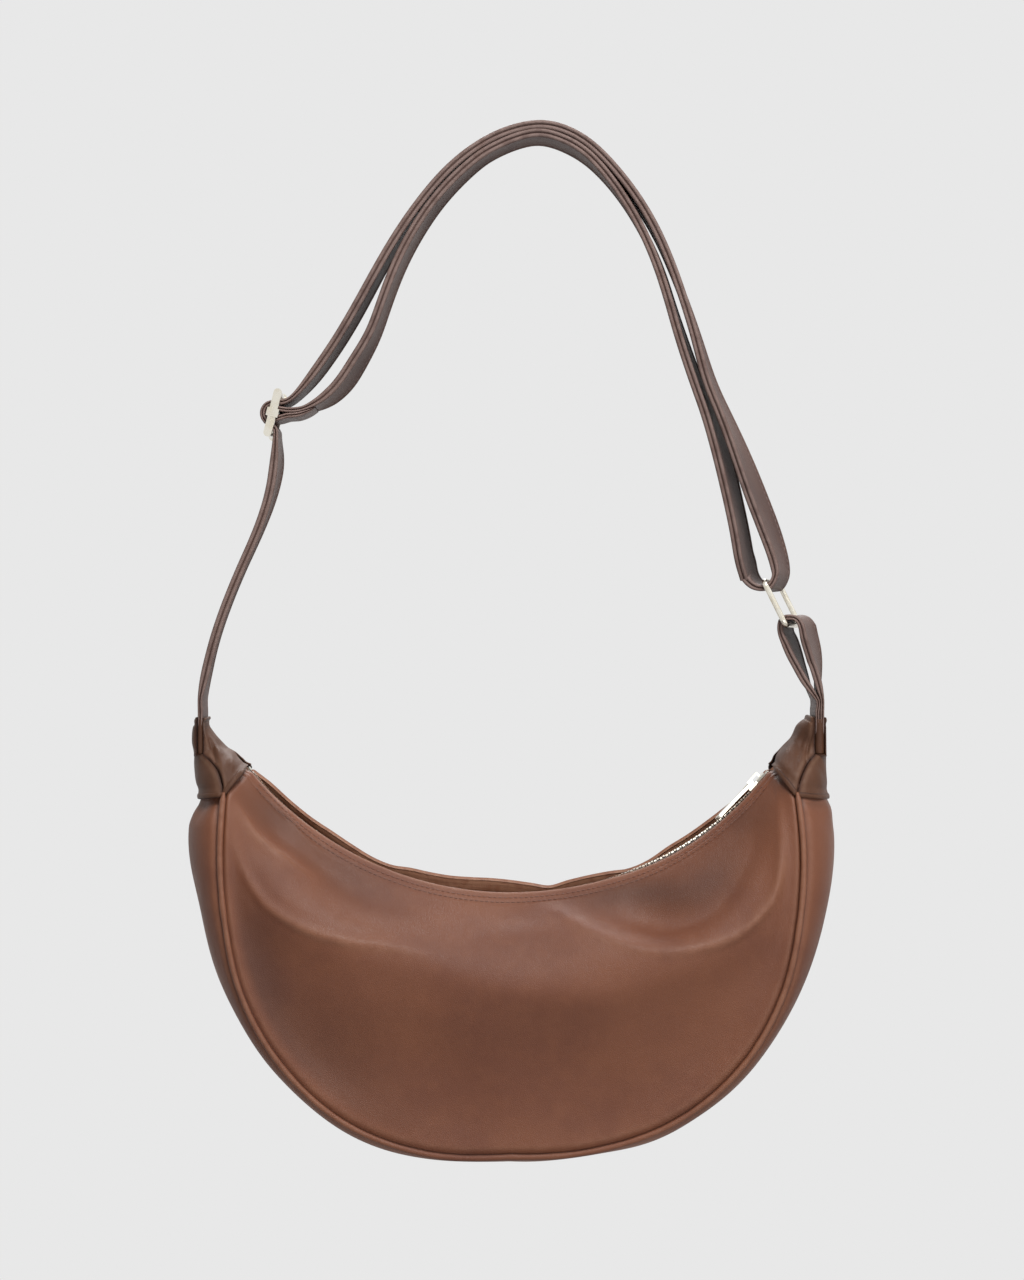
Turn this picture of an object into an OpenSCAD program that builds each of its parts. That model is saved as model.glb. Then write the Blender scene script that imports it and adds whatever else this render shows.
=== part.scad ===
// Crescent shoulder bag with a closed top zip, two leather horn caps and one long adjustable strap.
// It hangs from the crest of its strap. The origin is the underside of the strap's crest,
// +X is the bag's right as seen from the front, +Y is the back and +Z is up.

/* [Hanging] */
// Drop from the hang point to the line through the strap's two roots
drop = 293.5; // [240:0.5:400]
// Distance between the roots in the left and right horn
root_span = 307; // [250:1:360]

/* [Strap] */
// Width of the strap
strap_w = 25; // [18:0.5:32]
// Thickness of the folded and sewn strap
strap_t = 2.6; // [2:0.1:3.2]
// Thickness of one leg of the tab loop
tab_t = 2.2; // [1.6:0.1:2.8]
// Clearance between layers of leather that lie on each other
layer_gap = 0.2; // [0.1:0.05:0.4]
// Clearance of each strap end in its slot in the horn
swing_gap = 0.3; // [0.2:0.05:0.6]

/* [Body] */
// Radius that the lower outline follows
body_r = 161; // [140:1:180]
// Height of the outline's centre below the roots
body_drop = 55.5; // [45:0.5:70]
// Distance between the front and back seams at the bottom
body_depth = 72; // [50:1:90]
// How far the widest part of the gusset bulges out past the seams
gusset_bulge = 20.3; // [14:0.1:24]
// How far the front and back panels bulge out of their seams
panel_bulge = 22; // [8:0.5:30]
// Thickness of the leather
leather_t = 1.6; // [1:0.1:2]
// Thickness of the lining cloth
lining_t = 0.5; // [0.3:0.1:1]
// Diameter of the piping
piping_d = 3.5; // [2.5:0.1:4.5]

/* [Horns] */
// How far the horns stand above the line through the roots
tip_rise = 4; // [2:0.5:8]
// Height of the cap below the roots, down to its corner on the seam
cap_drop = 33; // [28:0.5:40]
// Distance from the root in to the cap's inner corner at the end of the mouth
horn_w = 23; // [20:0.2:28]
// Diameter of the rolled binding along the cap's edge
binding_d = 2.6; // [2:0.1:3.4]

/* [Mouth and zip] */
// Radius of the mouth's curve
mouth_r = 165.5; // [150:0.5:200]
// Distance between the ends of the mouth
mouth_span = 260.5; // [250:0.5:266]
// Width of the opening between the front and back lips
mouth_w = 14; // [13:0.2:18]
// How much higher the back lip stands than the front lip in the middle
lip_step = 3; // [0:0.2:5]
// Distance from one tooth to the next of the same row
tooth_pitch = 3.2; // [3:0.1:5]
// Height of a tooth
tooth_h = 2.4; // [2:0.1:3]
// Thickness of the zip tape
tape_t = 0.5; // [0.3:0.05:0.6]
// Length of the slider
slider_l = 11; // [9:0.5:14]
// Length of the puller from its pivot
puller_l = 26; // [16:0.5:32]

/* [Metal fittings] */
// Wire of the rectangular ring
ring_wire = 2.8; // [2:0.1:3.6]
// Distance between the upper and lower bar of the ring, centre to centre
ring_h = 24.2; // [20:0.2:30]
// Width of the adjuster's end bars
adj_rail = 2.6; // [2:0.1:3.4]
// Radius of the adjuster's centre bar
adj_bar_r = 1.3; // [1:0.1:1.8]
// How far the adjuster's frame can shift on its centre bar each way
adj_play = 1.2; // [0.6:0.1:1.6]

/* [Hidden] */
$fn = 32;
LEFT = -1;
RIGHT = 1;
FRONT = -1;
BACK = 1;
over = 0.5;       // overrun of every cut
butt_gap = 0.15;  // half of the joint between two pieces of leather

// Colours of the leather, the lining, the zip and the metal
leather = [0.47, 0.31, 0.24];
leather_dark = [0.36, 0.26, 0.22];
strap_leather = [0.42, 0.33, 0.31];
lining_cloth = [0.30, 0.22, 0.18];
tape_cloth = [0.28, 0.19, 0.15];
metal = [0.88, 0.84, 0.76];

// How far from the left root the hang point lies, as a share of the distance between the roots
crest_share = 0.557;
// How far the strap and its tab stand straight up from their roots
root_rise = 14;

left_root = -crest_share * root_span;
bag_x = left_root + root_span / 2;
root_x = root_span / 2;
slot_left = strap_t / 2 + swing_gap;
slot_right = tab_t + layer_gap / 2 + swing_gap;
strap_slot = strap_w / 2 + swing_gap;
cap_depth = strap_w / 2 + butt_gap + layer_gap;

// Sums on points and tables
function between(a, b, k) = a + (b - a) * k;
function unit(v) = v / norm(v);
function flip(list) = [for (i = [len(list) - 1:-1:0]) list[i]];
function clamp(x, low, high) = min(max(x, low), high);
function ease(x) = let (k = clamp(x, 0, 1)) k * k * (3 - 2 * k);

// A smooth curve through the rows of a table, at the place s from 0 to 1
function smooth(table, s) =
    let (n = len(table) - 1, p = clamp(s, 0, 1) * n, i = min(floor(p), n - 1), k = p - i,
        a = table[max(i - 1, 0)], b = table[i], c = table[i + 1], d = table[min(i + 2, n)])
    b + k / 2 * (c - a + k * (2 * a - 5 * b + 4 * c - d + k * (3 * (b - c) + d - a)));
function smooth_path(keys, per) =
    let (n = (len(keys) - 1) * per) [for (i = [0:n]) smooth(keys, i / n)];

// Faces: the corners a, b, c, d run clockwise as seen from outside
function cell(a, b, c, d) = [[a, b, c], [a, c, d]];

// A closed solid through rings of points, with flat ends
module skin(rings) {
    n = len(rings[0]);
    rows = len(rings);
    last = (rows - 1) * n;
    faces = concat(
        [for (i = [0:rows - 2]) for (k = [0:n - 1]) let (m = (k + 1) % n)
            each cell(i * n + k, i * n + m, (i + 1) * n + m, (i + 1) * n + k)],
        [for (k = [1:n - 2]) [0, k + 1, k]],
        [for (k = [1:n - 2]) [last, last + k, last + k + 1]]);
    polyhedron([for (ring = rings) each ring], faces);
}

// A band or tube along a path, with a direction for its width and a cross-section at each point
function heading(path, i) = unit(path[min(i + 1, len(path) - 1)] - path[max(i - 1, 0)]);
module swept(path, sides, sections) {
    skin([for (i = [0:len(path) - 1])
        let (t = heading(path, i), w = unit(sides[i] - (sides[i] * t) * t), n = cross(w, t))
        [for (p = sections[i]) path[i] + w * p[0] + n * p[1]]]);
}
function disc(r, n) = [for (k = [0:n - 1]) [r * cos(360 * k / n), r * sin(360 * k / n)]];
module tube(path, side, r, n) {
    swept(path, [for (p = path) side], [for (p = path) disc(r, n)]);
}
// Cross-section of a folded band with soft edges
edge_share = 0.4;
function band_section(half_w, t) =
    let (e = min(t * edge_share, half_w * edge_share), h = t / 2)
    [[half_w, 0], [half_w - e, h], [e - half_w, h], [-half_w, 0], [e - half_w, -h], [half_w - e, -h]];

// A sheet of leather or cloth: a grid of points on the bag's skin, from one depth under it to another
function grid_normal(g, i, j) =
    let (du = g[min(i + 1, len(g) - 1)][j] - g[max(i - 1, 0)][j],
        dv = g[i][min(j + 1, len(g[0]) - 1)] - g[i][max(j - 1, 0)])
    unit(cross(du, dv));
function sunk(g, d) =
    [for (i = [0:len(g) - 1]) [for (j = [0:len(g[0]) - 1]) g[i][j] - d * grid_normal(g, i, j)]];
module sheet(g, top, bottom) {
    w = len(g[0]);
    r = len(g) - 1;
    c = w - 1;
    n = len(g) * w;
    faces = concat(
        [for (i = [0:r - 1]) for (j = [0:c - 1]) let (a = i * w + j)
            each concat(cell(a, a + 1, a + w + 1, a + w),
                cell(n + a, n + a + w, n + a + w + 1, n + a + 1))],
        [for (j = [0:c - 1]) let (a = j, b = r * w + j)
            each concat(cell(a + 1, a, n + a, n + a + 1), cell(b, b + 1, n + b + 1, n + b))],
        [for (i = [0:r - 1]) let (a = i * w, b = i * w + c)
            each concat(cell(a, a + w, n + a + w, n + a), cell(b + w, b, n + b, n + b + w))]);
    corners = concat([for (row = sunk(g, top)) each row], [for (row = sunk(g, bottom)) each row]);
    polyhedron(corners, faces);
}

// The bag's skin. t runs along the crescent from the left horn, -1, to the right horn, 1.

// Radius of the outline at every 15 degrees from straight down, as shares of body_r
outline_left_share = [1.006, 1.031, 1.055, 1.039, 1.015, 0.997, 0.996, 0.979];
outline_right_share = [1.006, 1.022, 1.051, 1.049, 1.026, 1.010, 1.006, 0.979];
step_angle = 15;
// How far the seam lies inside the outline at every 15 degrees, as shares of gusset_bulge
inset_share = [0.38, 0.385, 0.49, 0.52, 0.60, 0.80, 0.93, 0.74];
// Half of the distance between the seams, as shares of half of body_depth
depth_share = [1, 1, 1, 1, 1, 0.97, 0.86, 0.66];
// Angles of the seam and of the outline at the cap's edge
seam_angle = 99;
outline_angle = 97.3;
// Height of the mouth's ends, as a share of cap_drop
mouth_end_share = 0.615;
mouth_angle = asin(mouth_span / 2 / mouth_r);
mouth_z = mouth_r * cos(mouth_angle) - cap_drop * mouth_end_share;

function turned(angle) = angle / (step_angle * (len(inset_share) - 1));
function side_of(t) = t < 0 ? LEFT : RIGHT;
function outline_r(angle, side) =
    body_r * smooth(side == LEFT ? outline_left_share : outline_right_share, turned(angle));
function seam_r(angle, side) =
    outline_r(angle, side) - gusset_bulge * smooth(inset_share, turned(angle));
function around(r, angle, side) = [side * r * sin(angle), -body_drop - r * cos(angle)];

// Places of the mouth's edge, the seam and the outline at t, as x and z
function mouth_at(t, depth = 0) =
    [(mouth_r + depth) * sin(mouth_angle * t), mouth_z - (mouth_r + depth) * cos(mouth_angle * t)];
function seam_at(t) = around(seam_r(seam_angle * abs(t), side_of(t)), seam_angle * abs(t), side_of(t));
function outline_at(t) =
    around(outline_r(outline_angle * abs(t), side_of(t)), outline_angle * abs(t), side_of(t));
function seam_y(t) = body_depth / 2 * smooth(depth_share, turned(seam_angle * abs(t)));

// The horn, from the cap's edge, h = 0, to its tip, h = 1.
// Inner ridge: distance in from the root as shares of horn_w, and height as shares of cap_drop
ridge_share = [[1, -mouth_end_share], [0.67, -0.515], [0.42, -0.32], [0.25, -0.11]];
// Where the seam between the cap's pieces reaches the strap's slot, as a share of h
slot_floor_share = 0.5;
slot_flare_share = 0.2; // part of the slot's height over which it widens above its floor
function tip_half(side) = (side == LEFT ? slot_left : slot_right) + leather_t + layer_gap;
function ridge_at(h, side) =
    let (tip = [root_x - tip_half(side), tip_rise],
        rows = concat([for (r = ridge_share) [root_x - r[0] * horn_w, r[1] * cap_drop]], [tip]),
        p = smooth(rows, h))
    [side * p[0], p[1]];
// The cap's seam leaves the corner, reaches the slot's floor and follows the slot's side to the tip
function cap_seam_at(h, side, edge) =
    let (corner = seam_at(side), wall = root_x + edge * tip_half(side),
        start = [side * corner[0], corner[1]],
        foot = [root_x - tip_half(side), -strap_slot - 3 * leather_t],
        bow = between(start, foot, 0.5) - [0, leather_t],
        low = smooth([start, bow, foot], h / slot_floor_share),
        k = (h - slot_floor_share) / (1 - slot_floor_share),
        open = ease(k / slot_flare_share),
        p = k <= 0 ? low : [between(foot[0], wall, open), between(foot[1], tip_rise, k)])
    [side * (p[0] + edge * butt_gap), p[1]];
function cap_outline_at(h, side) =
    let (start = outline_at(side), wall = root_x + tip_half(side))
    [side * between(side * start[0], wall, ease(h)), between(start[1], tip_rise, h)];
// Where the cap has narrowed to the strap's width, and where its lips have closed, as shares of h
narrow_share = 0.625;
close_share = 1 / 3;
function cap_y(h) = between(seam_y(1), cap_depth, ease(h / narrow_share));

// Front or back panel: v runs from the mouth, 0, to the seam, 1
crown_share = 0.35; // where the panel bulges most, as a share of its height down from the mouth
crown_power = 1.5;
// Where a panel starts to round into the horns, as a share of t, and how its bulge fades towards them
horn_share = 0.7;
fade_power = 0.8;
function crown(u) = pow(sin(180 * pow(u, ln(0.5) / ln(crown_share))), crown_power);
seam_gap = 0.55;
seam_clear = piping_d / 2 + seam_gap;
// Distance of the point m from the seam, square to it
tiny_share = 0.01;
function seam_reach(t, m) =
    let (run = unit(seam_at(t + tiny_share) - seam_at(t - tiny_share)), way = seam_at(t) - m)
    abs(run[0] * way[1] - run[1] * way[0]);
function panel_point(t, v, face) =
    let (horn = ease((abs(t) - horn_share) / (1 - horn_share)), full = pow(cos(90 * t), fade_power),
        m = mouth_at(t) + [0, face == BACK ? lip_step * full : 0], s = seam_at(t),
        reach = 1 - seam_clear / seam_reach(t, m), u = v * reach,
        swell = between(mouth_w / 2, seam_y(t), u) + panel_bulge * full * crown(u),
        round = between(mouth_w / 2, seam_y(t), sin(90 * u)), p = between(m, s, u))
    [p[0], face * between(swell, round, horn), p[1]];
// Gusset: v runs from the front seam, -1, over the outline, 0, to the back seam, 1
function gusset_point(t, v) =
    let (s = seam_at(t), o = outline_at(t), reach = 1 - asin(min(seam_clear / norm(o - s), 1)) / 90,
        a = 90 * v * reach, p = between(s, o, cos(a)))
    [p[0], seam_y(t) * sin(a), p[1]];
// Front or back piece of a cap: v runs from the inner ridge, 0, to the seam, 1
function cap_point(h, v, side, face) =
    let (m = ridge_at(h, side), s = cap_seam_at(h, side, -1),
        lip = between(mouth_w / 2, butt_gap, ease(h / close_share)), p = between(m, s, 1 - cos(90 * v)))
    [p[0], face * between(lip, cap_y(h), sin(90 * v)), p[1]];
// Side piece of a cap: v runs from the front seam, -1, to the back seam, 1
function cap_side_point(h, v, side) =
    let (s = cap_seam_at(h, side, 1), o = cap_outline_at(h, side), p = between(s, o, cos(90 * v)))
    [p[0], cap_y(h) * sin(90 * v), p[1]];

panel_rows = 36;
panel_cols = 9;
gusset_cols = 8;
cap_rows = 16;
cap_cols = 5;
// Where the panels and the piping end, just short of the cap's edge, as shares of t
panel_end_share = 0.99;
piping_end_share = 0.985;
spread_power = 1.3; // the rows of a panel lie closer together towards the mouth
function panel_grid(face, rows, cols, ends, top = 0) =
    [for (i = [0:rows]) let (t = ends * (2 * i / rows - 1))
        [for (j = [0:cols]) let (k = pow(face == BACK ? j / cols : 1 - j / cols, spread_power))
            panel_point(t, between(top, 1, k), face)]];
function gusset_grid(rows, cols, ends) =
    [for (i = [0:rows]) let (t = ends * (2 * i / rows - 1))
        [for (j = [0:cols]) gusset_point(t, 1 - 2 * j / cols)]];
function cap_grid(side, face) =
    [for (i = [0:cap_rows]) [for (j = [0:cap_cols])
        cap_point(i / cap_rows, side == face ? j / cap_cols : 1 - j / cap_cols, side, face)]];
function cap_side_grid(side) =
    [for (i = [0:cap_rows]) [for (j = [0:2 * cap_cols])
        cap_side_point(i / cap_rows, -side * (j / cap_cols - 1), side)]];

module in_bag() { translate([bag_x, 0, -drop]) children(); }
module leather_sheet(g, shade = leather) {
    color(shade) in_bag() sheet(g, 0, leather_t);
}
module lining_sheet(g) {
    top = leather_t + lining_gap;
    color(lining_cloth) in_bag() sheet(g, top, top + lining_t);
}
module front_panel() { leather_sheet(panel_grid(FRONT, panel_rows, panel_cols, panel_end_share)); }
module back_panel() { leather_sheet(panel_grid(BACK, panel_rows, panel_cols, panel_end_share)); }
module gusset() { leather_sheet(gusset_grid(panel_rows, gusset_cols, panel_end_share), leather_dark); }

// The lining hangs a little off the leather, from below the zip's tape down
lining_gap = 0.8;
lining_rows = 18;
lining_cols = 7;
lining_end_share = 0.95;
tape_under_share = 0.05; // how far the tape reaches down under the panel, as a share of its height
lining_top_share = tape_under_share * 1.3;
module lining_panel(face) {
    lining_sheet(panel_grid(face, lining_rows, lining_cols, lining_end_share, lining_top_share));
}
module lining_front() { lining_panel(FRONT); }
module lining_back() { lining_panel(BACK); }
module lining_gusset() { lining_sheet(gusset_grid(lining_rows, lining_cols, lining_end_share)); }

piping_rings = 48;
piping_sides = 6;
module piping(face) {
    path = [for (i = [0:piping_rings])
        let (t = piping_end_share * (2 * i / piping_rings - 1), s = seam_at(t))
        [s[0], face * seam_y(t), s[1]]];
    color(leather_dark) in_bag() tube(path, [0, 1, 0], piping_d / 2, piping_sides);
}
module piping_front() { piping(FRONT); }
module piping_back() { piping(BACK); }

module cap_piece(side, face) { leather_sheet(cap_grid(side, face), leather_dark); }
module cap_side(side) { leather_sheet(cap_side_grid(side), leather_dark); }
// Rolled edge of the cap, which lies on the leather from lip to lip round the horn
function cap_hem(side) =
    let (lift = -binding_d / 2 - layer_gap,
        front = sunk(cap_grid(side, FRONT), lift)[0], back = sunk(cap_grid(side, BACK), lift)[0],
        edge = sunk(cap_side_grid(side), lift)[0], c = cap_cols)
    concat([for (j = [0:c]) front[side == FRONT ? j : c - j]],
        [for (j = [1:2 * c - 1]) edge[side == LEFT ? j : 2 * c - j]],
        [for (j = [0:c]) back[side == BACK ? c - j : j]]);
module cap_binding(side) {
    color(leather_dark) in_bag() tube(cap_hem(side), [0, 0, 1], binding_d / 2, piping_sides);
}
module cap_left_side() { cap_side(LEFT); }
module cap_left_front() { cap_piece(LEFT, FRONT); }
module cap_left_back() { cap_piece(LEFT, BACK); }
module cap_left_binding() { cap_binding(LEFT); }
module cap_right_side() { cap_side(RIGHT); }
module cap_right_front() { cap_piece(RIGHT, FRONT); }
module cap_right_back() { cap_piece(RIGHT, BACK); }
module cap_right_binding() { cap_binding(RIGHT); }

// The strap's route, seen from the front. A spot is given as shares of root_span and of drop,
// from the left root, and yaw turns the band's far edge to the right.
function spot(row) = [left_root + row[0] * root_span, 0, (row[1] - 1) * drop, row[2], 1];

// From the left root to the adjuster
lower_share = [[0.005, 0.083, 0], [0.019, 0.145, 0], [0.039, 0.206, 0], [0.063, 0.267, 0],
    [0.090, 0.329, 2], [0.111, 0.390, 4], [0.121, 0.445, 3]];
// Outer run, from the adjuster over the crest to the ring
outer_share = [[0.182, 0.595, 5], [0.222, 0.656, 7], [0.256, 0.717, 7], [0.288, 0.779, 7],
    [0.323, 0.840, 5], [0.365, 0.901, 4], [0.407, 0.949, 2], [0.454, 0.987, 0], [0.503, 1.011, 0],
    [0.557, 1.020, 0], [0.609, 1.001, 0], [0.654, 0.963, 0], [0.703, 0.901, 0], [0.738, 0.840, 0],
    [0.764, 0.779, 1], [0.786, 0.717, 2], [0.805, 0.656, 4], [0.825, 0.584, 10], [0.851, 0.523, 13],
    [0.879, 0.451, 16], [0.900, 0.390, 18], [0.920, 0.336, 19], [0.935, 0.293, 20]];
// Inner run, from the ring up to the crest and from there down to the adjuster
inner_right_share = [[0.881, 0.290, 20], [0.874, 0.332, 19], [0.862, 0.390, 18], [0.848, 0.451, 16],
    [0.825, 0.523, 13], [0.803, 0.584, 10], [0.779, 0.656, 4], [0.759, 0.717, 2], [0.739, 0.779, 1],
    [0.713, 0.840, 0], [0.679, 0.901, 0], [0.641, 0.952, 0], [0.603, 0.981, 0]];
inner_left_share = [[0.519, 0.997, 0], [0.479, 0.978, 0], [0.444, 0.954, 0], [0.393, 0.901, 2],
    [0.354, 0.840, 3], [0.322, 0.779, 5], [0.297, 0.717, 7], [0.278, 0.664, 9], [0.252, 0.617, 12],
    [0.230, 0.581, 12], [0.202, 0.554, 8]];

// The adjuster: its centre bar's place, its lean, and the way of the two layers round the bar
adj_spot_share = [0.118, 0.528, 0];
lean_angle = 14.3;
sewn_r = adj_bar_r + layer_gap + strap_t / 2;
run_r = sewn_r + layer_gap + strap_t;
adj_room = 0.8;   // clearance between the folded strap and an end bar at the end of the play
adj_end = run_r + strap_t / 2 + adj_play + adj_room + adj_rail / 2;
thread_share = [[0.70, -2.0], [0.50, -1.29], [-0.11, -1.04], [-0.743, -0.669], [-1, 0],
    [-0.716, 0.698], [0, 1], [0.70, 1.23], [1.43, 2.0]];
sewn_share = [[5.36, 2.46], [3.86, 1.64], [2.32, 1.18], [1.07, 1.04], [0, 1], [-0.707, 0.707],
    [-1, 0], [-0.707, -0.707], [0, -1], [1.14, -0.57], [2.46, 0.18], [4.14, 0.68], [5.71, 1.54]];
adj_spot = spot(adj_spot_share);
function at_adjuster(row, r) =
    let (x = row[0] * r, z = row[1] * r)
    [adj_spot[0] + x * cos(lean_angle) + z * sin(lean_angle), 0,
        adj_spot[2] - x * sin(lean_angle) + z * cos(lean_angle), 0, 1];

// The ring: its upper bar's place, its yaw and lean, and the way of the strap and the tab round its bars
ring_spot_share = [0.926, 0.2436, 0];
yaw_angle = 20;
tip_angle = 27;
ring_fit = 0.3;
ring_room = 1.25; // how far the ring can rise in the tab
loop_r = ring_wire / 2 + ring_fit + strap_t / 2;
tab_r = ring_wire / 2 + ring_room + tab_t / 2;
loop_share = [[1.6, 2.33], [1.67, 1.0], [1.13, -0.27], [0.55, -0.89], [0, -1], [-1.0, -0.87],
    [-2.3, -0.1], [-3.3, 1.1], [-3.9, 2.33]];
tab_share = [[-0.40, -2.13], [-0.96, -0.85], [-0.88, 0.45], [-0.4, 0.92], [0.32, 1.04],
    [1.2, 0.9], [1.87, 0.13], [2.24, -1.33]];
ring_down = [sin(tip_angle) * cos(yaw_angle), -sin(tip_angle) * sin(yaw_angle), -cos(tip_angle)];
ring_top = [for (k = [0:2]) spot(ring_spot_share)[k]] - [0, ring_down[1] * ring_h / 2, 0];
ring_bottom = ring_top + ring_down * ring_h;
function at_ring(bar, row, r) =
    let (x = row[0] * r) [bar[0] + x * cos(yaw_angle), bar[1] - x * sin(yaw_angle), bar[2] + row[1] * r,
        yaw_angle, 1];

// A root: the band's rounded end and its straight rise, from the pivot line up
root_angles = [78, 55, 28];
function root_keys(x) = concat(
    [for (a = root_angles) [x, 0, -drop - strap_w / 2 * sin(a), 0, cos(a)]],
    [[x, 0, -drop, 0, 1], [x, 0, -drop + root_rise / 2, 0, 1], [x, 0, -drop + root_rise, 0, 1]]);

module band(keys, per, t) {
    rows = smooth_path(keys, per);
    color(strap_leather) swept([for (k = rows) [k[0], k[1], k[2]]],
        [for (k = rows) [sin(k[3]), cos(k[3]), 0]],
        [for (k = rows) band_section(strap_w / 2 * k[4], t)]);
}
module shoulder_strap() {
    crest = [0, 0, strap_t / 2, 0, 1];
    band(concat(root_keys(left_root), [for (row = lower_share) spot(row)],
        [for (row = thread_share) at_adjuster(row, run_r)], [for (row = outer_share) spot(row)],
        [for (row = loop_share) at_ring(ring_top, row, loop_r)],
        [for (row = inner_right_share) spot(row)], [crest],
        [for (row = inner_left_share) spot(row)],
        [for (row = sewn_share) at_adjuster(row, sewn_r)]), 2, strap_t);
}

// The tab's two legs, from the right root to the ring and back
tab_left_share = [[0.982, 0.0733, 8], [0.970, 0.104, 14], [0.9625, 0.1244, 18]];
tab_right_share = [[0.994, 0.1244, 18], [0.998, 0.104, 14], [1.0015, 0.0733, 6]];
module tab_loop() {
    right_root = left_root + root_span;
    leg = (tab_t + layer_gap) / 2;
    band(concat(root_keys(right_root - leg), [for (row = tab_left_share) spot(row)],
        [for (row = tab_share) at_ring(ring_bottom, row, tab_r)],
        [for (row = tab_right_share) spot(row)], flip(root_keys(right_root + leg))), 2, tab_t);
}

// The rectangular ring: one bent wire
ring_bend = 2.6;  // radius of the wire's middle at the ring's corners
ring_half = strap_w / 2 + ring_room / 2 + ring_wire / 2;
module ring_corner() {
    rotate([90, 0, 90]) rotate_extrude(angle = 90) translate([ring_bend, 0]) circle(ring_wire / 2);
}
module rect_ring() {
    flat = ring_half - ring_bend;
    color(metal) translate(ring_top) rotate([0, 0, -yaw_angle]) rotate([0, -tip_angle, 0]) {
        for (z = [0, -ring_h]) translate([0, -flat, z]) rotate([-90, 0, 0])
            cylinder(r = ring_wire / 2, h = 2 * flat);
        for (y = [-ring_half, ring_half]) translate([0, y, ring_bend - ring_h])
            cylinder(r = ring_wire / 2, h = ring_h - 2 * ring_bend);
        for (y = [-1, 1]) for (z = [-1, 1])
            translate([0, y * flat, z * (ring_h / 2 - ring_bend) - ring_h / 2])
                mirror([0, y < 0 ? 1 : 0, 0])
                    mirror([0, 0, z < 0 ? 1 : 0]) ring_corner();
    }
}

// The adjuster: side rails with round ends, joined by two end bars. The centre bar's collars run
// on the rails.
rail_depth = 4;     // the side rails' size square to the strap, and across it
rail_w = 2.2;
collar_wall = 0.8;  // wall, running clearance and height of the centre bar's collars
collar_fit = 0.15;
collar_h = 4.2;
rail_in = strap_w / 2 + layer_gap + collar_wall + collar_fit;
module at_adj() {
    translate([adj_spot[0], 0, adj_spot[2]]) rotate([0, lean_angle, 0]) children();
}
module adjuster_frame() {
    color(metal) at_adj() {
        for (y = [-rail_in - rail_w, rail_in]) translate([0, y + rail_w, 0]) rotate([90, 0, 0])
            linear_extrude(rail_w) {
                square([rail_depth, 2 * adj_end], center = true);
                for (z = [-adj_end, adj_end]) translate([0, z]) circle(rail_depth / 2);
            }
        for (z = [-adj_end, adj_end]) translate([0, -rail_in - over, z]) rotate([-90, 0, 0])
            cylinder(r = adj_rail / 2, h = 2 * (rail_in + over));
    }
}
module adjuster_bar() {
    outer_w = rail_w + 2 * (collar_wall + collar_fit);
    color(metal) at_adj() {
        difference() {
            for (y = [-1, 1]) translate([0, y * (rail_in + rail_w / 2), 0])
                cube([rail_depth + 2 * (collar_wall + collar_fit), outer_w, collar_h], center = true);
            for (y = [-1, 1]) translate([0, y * (rail_in + rail_w / 2), 0])
                cube([rail_depth + 2 * collar_fit, rail_w + 2 * collar_fit, collar_h + over],
                    center = true);
        }
        translate([0, -strap_w / 2 - layer_gap - collar_wall / 2, 0]) rotate([-90, 0, 0])
            cylinder(r = adj_bar_r, h = strap_w + 2 * layer_gap + collar_wall);
    }
}

// The zip. Its chain lies a little under the lips; the slider rests at the right end.
chain_depth = 1.55; // depth of the tape's middle under the lips
tooth_root = 2.5;   // reach of a tooth from the middle to its own side
tooth_cross = 0.6;  // reach of a tooth past the middle
tooth_w = 1.3;      // width of a tooth, and half the width of its neck
tooth_neck = 0.45;
tooth_part = 1.4;   // how far the teeth stand apart in front of the slider
end_room = 3.9;     // from the middle of the top stops to the mouth's end
stop_l = 1.5 * tooth_w;
arc_mm = 180 / (PI * mouth_r);  // degrees of the mouth's curve for each millimetre along it
slider_half = slider_l / 2;
stop_angle = mouth_angle - end_room * arc_mm;
// Angle of the slider's middle on the mouth's curve with the zip closed
slider_angle = stop_angle - (slider_half + swing_gap + stop_l / 2) * arc_mm;
// How far the rows stand apart at an angle on the mouth's curve
function parting(angle) = tooth_part * ease((angle - slider_angle) / (slider_half * arc_mm));
module on_chain(angle) {
    in_bag() translate([0, 0, mouth_z]) rotate([0, -angle, 0])
        translate([0, 0, -mouth_r - chain_depth]) children();
}
tape_rows = 30;
tape_edge = tooth_root + butt_gap;
function tape_angles() = concat([for (i = [0:tape_rows - 1])
        between(-mouth_angle * panel_end_share, slider_angle - slider_half * arc_mm, i / tape_rows)],
    [for (k = [0:6]) between(slider_angle - slider_half * arc_mm, mouth_angle * panel_end_share, k / 6)]);
function tape_grid(face) =
    let (angles = tape_angles(), lip = leather_t + layer_gap,
        under = sunk([for (a = angles) let (row = [for (v = [0, tape_under_share / 2, tape_under_share])
            panel_point(a / mouth_angle, v, face)]) face == BACK ? row : flip(row)], lip))
    [for (i = [0:len(angles) - 1])
        let (a = angles[i], p = mouth_at(a / mouth_angle, chain_depth - tape_t / 2),
            near = tape_edge + parting(a), row = [
                [p[0], face * near, p[1]], [p[0], face * (mouth_w / 2 - leather_t), p[1]],
                under[i][1], under[i][face == BACK ? 2 : 0]])
        face == BACK ? row : flip(row)];
module zip_tape(face) { color(tape_cloth) in_bag() sheet(tape_grid(face), 0, tape_t); }
module zip_tape_front() { zip_tape(FRONT); }
module zip_tape_back() { zip_tape(BACK); }

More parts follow.
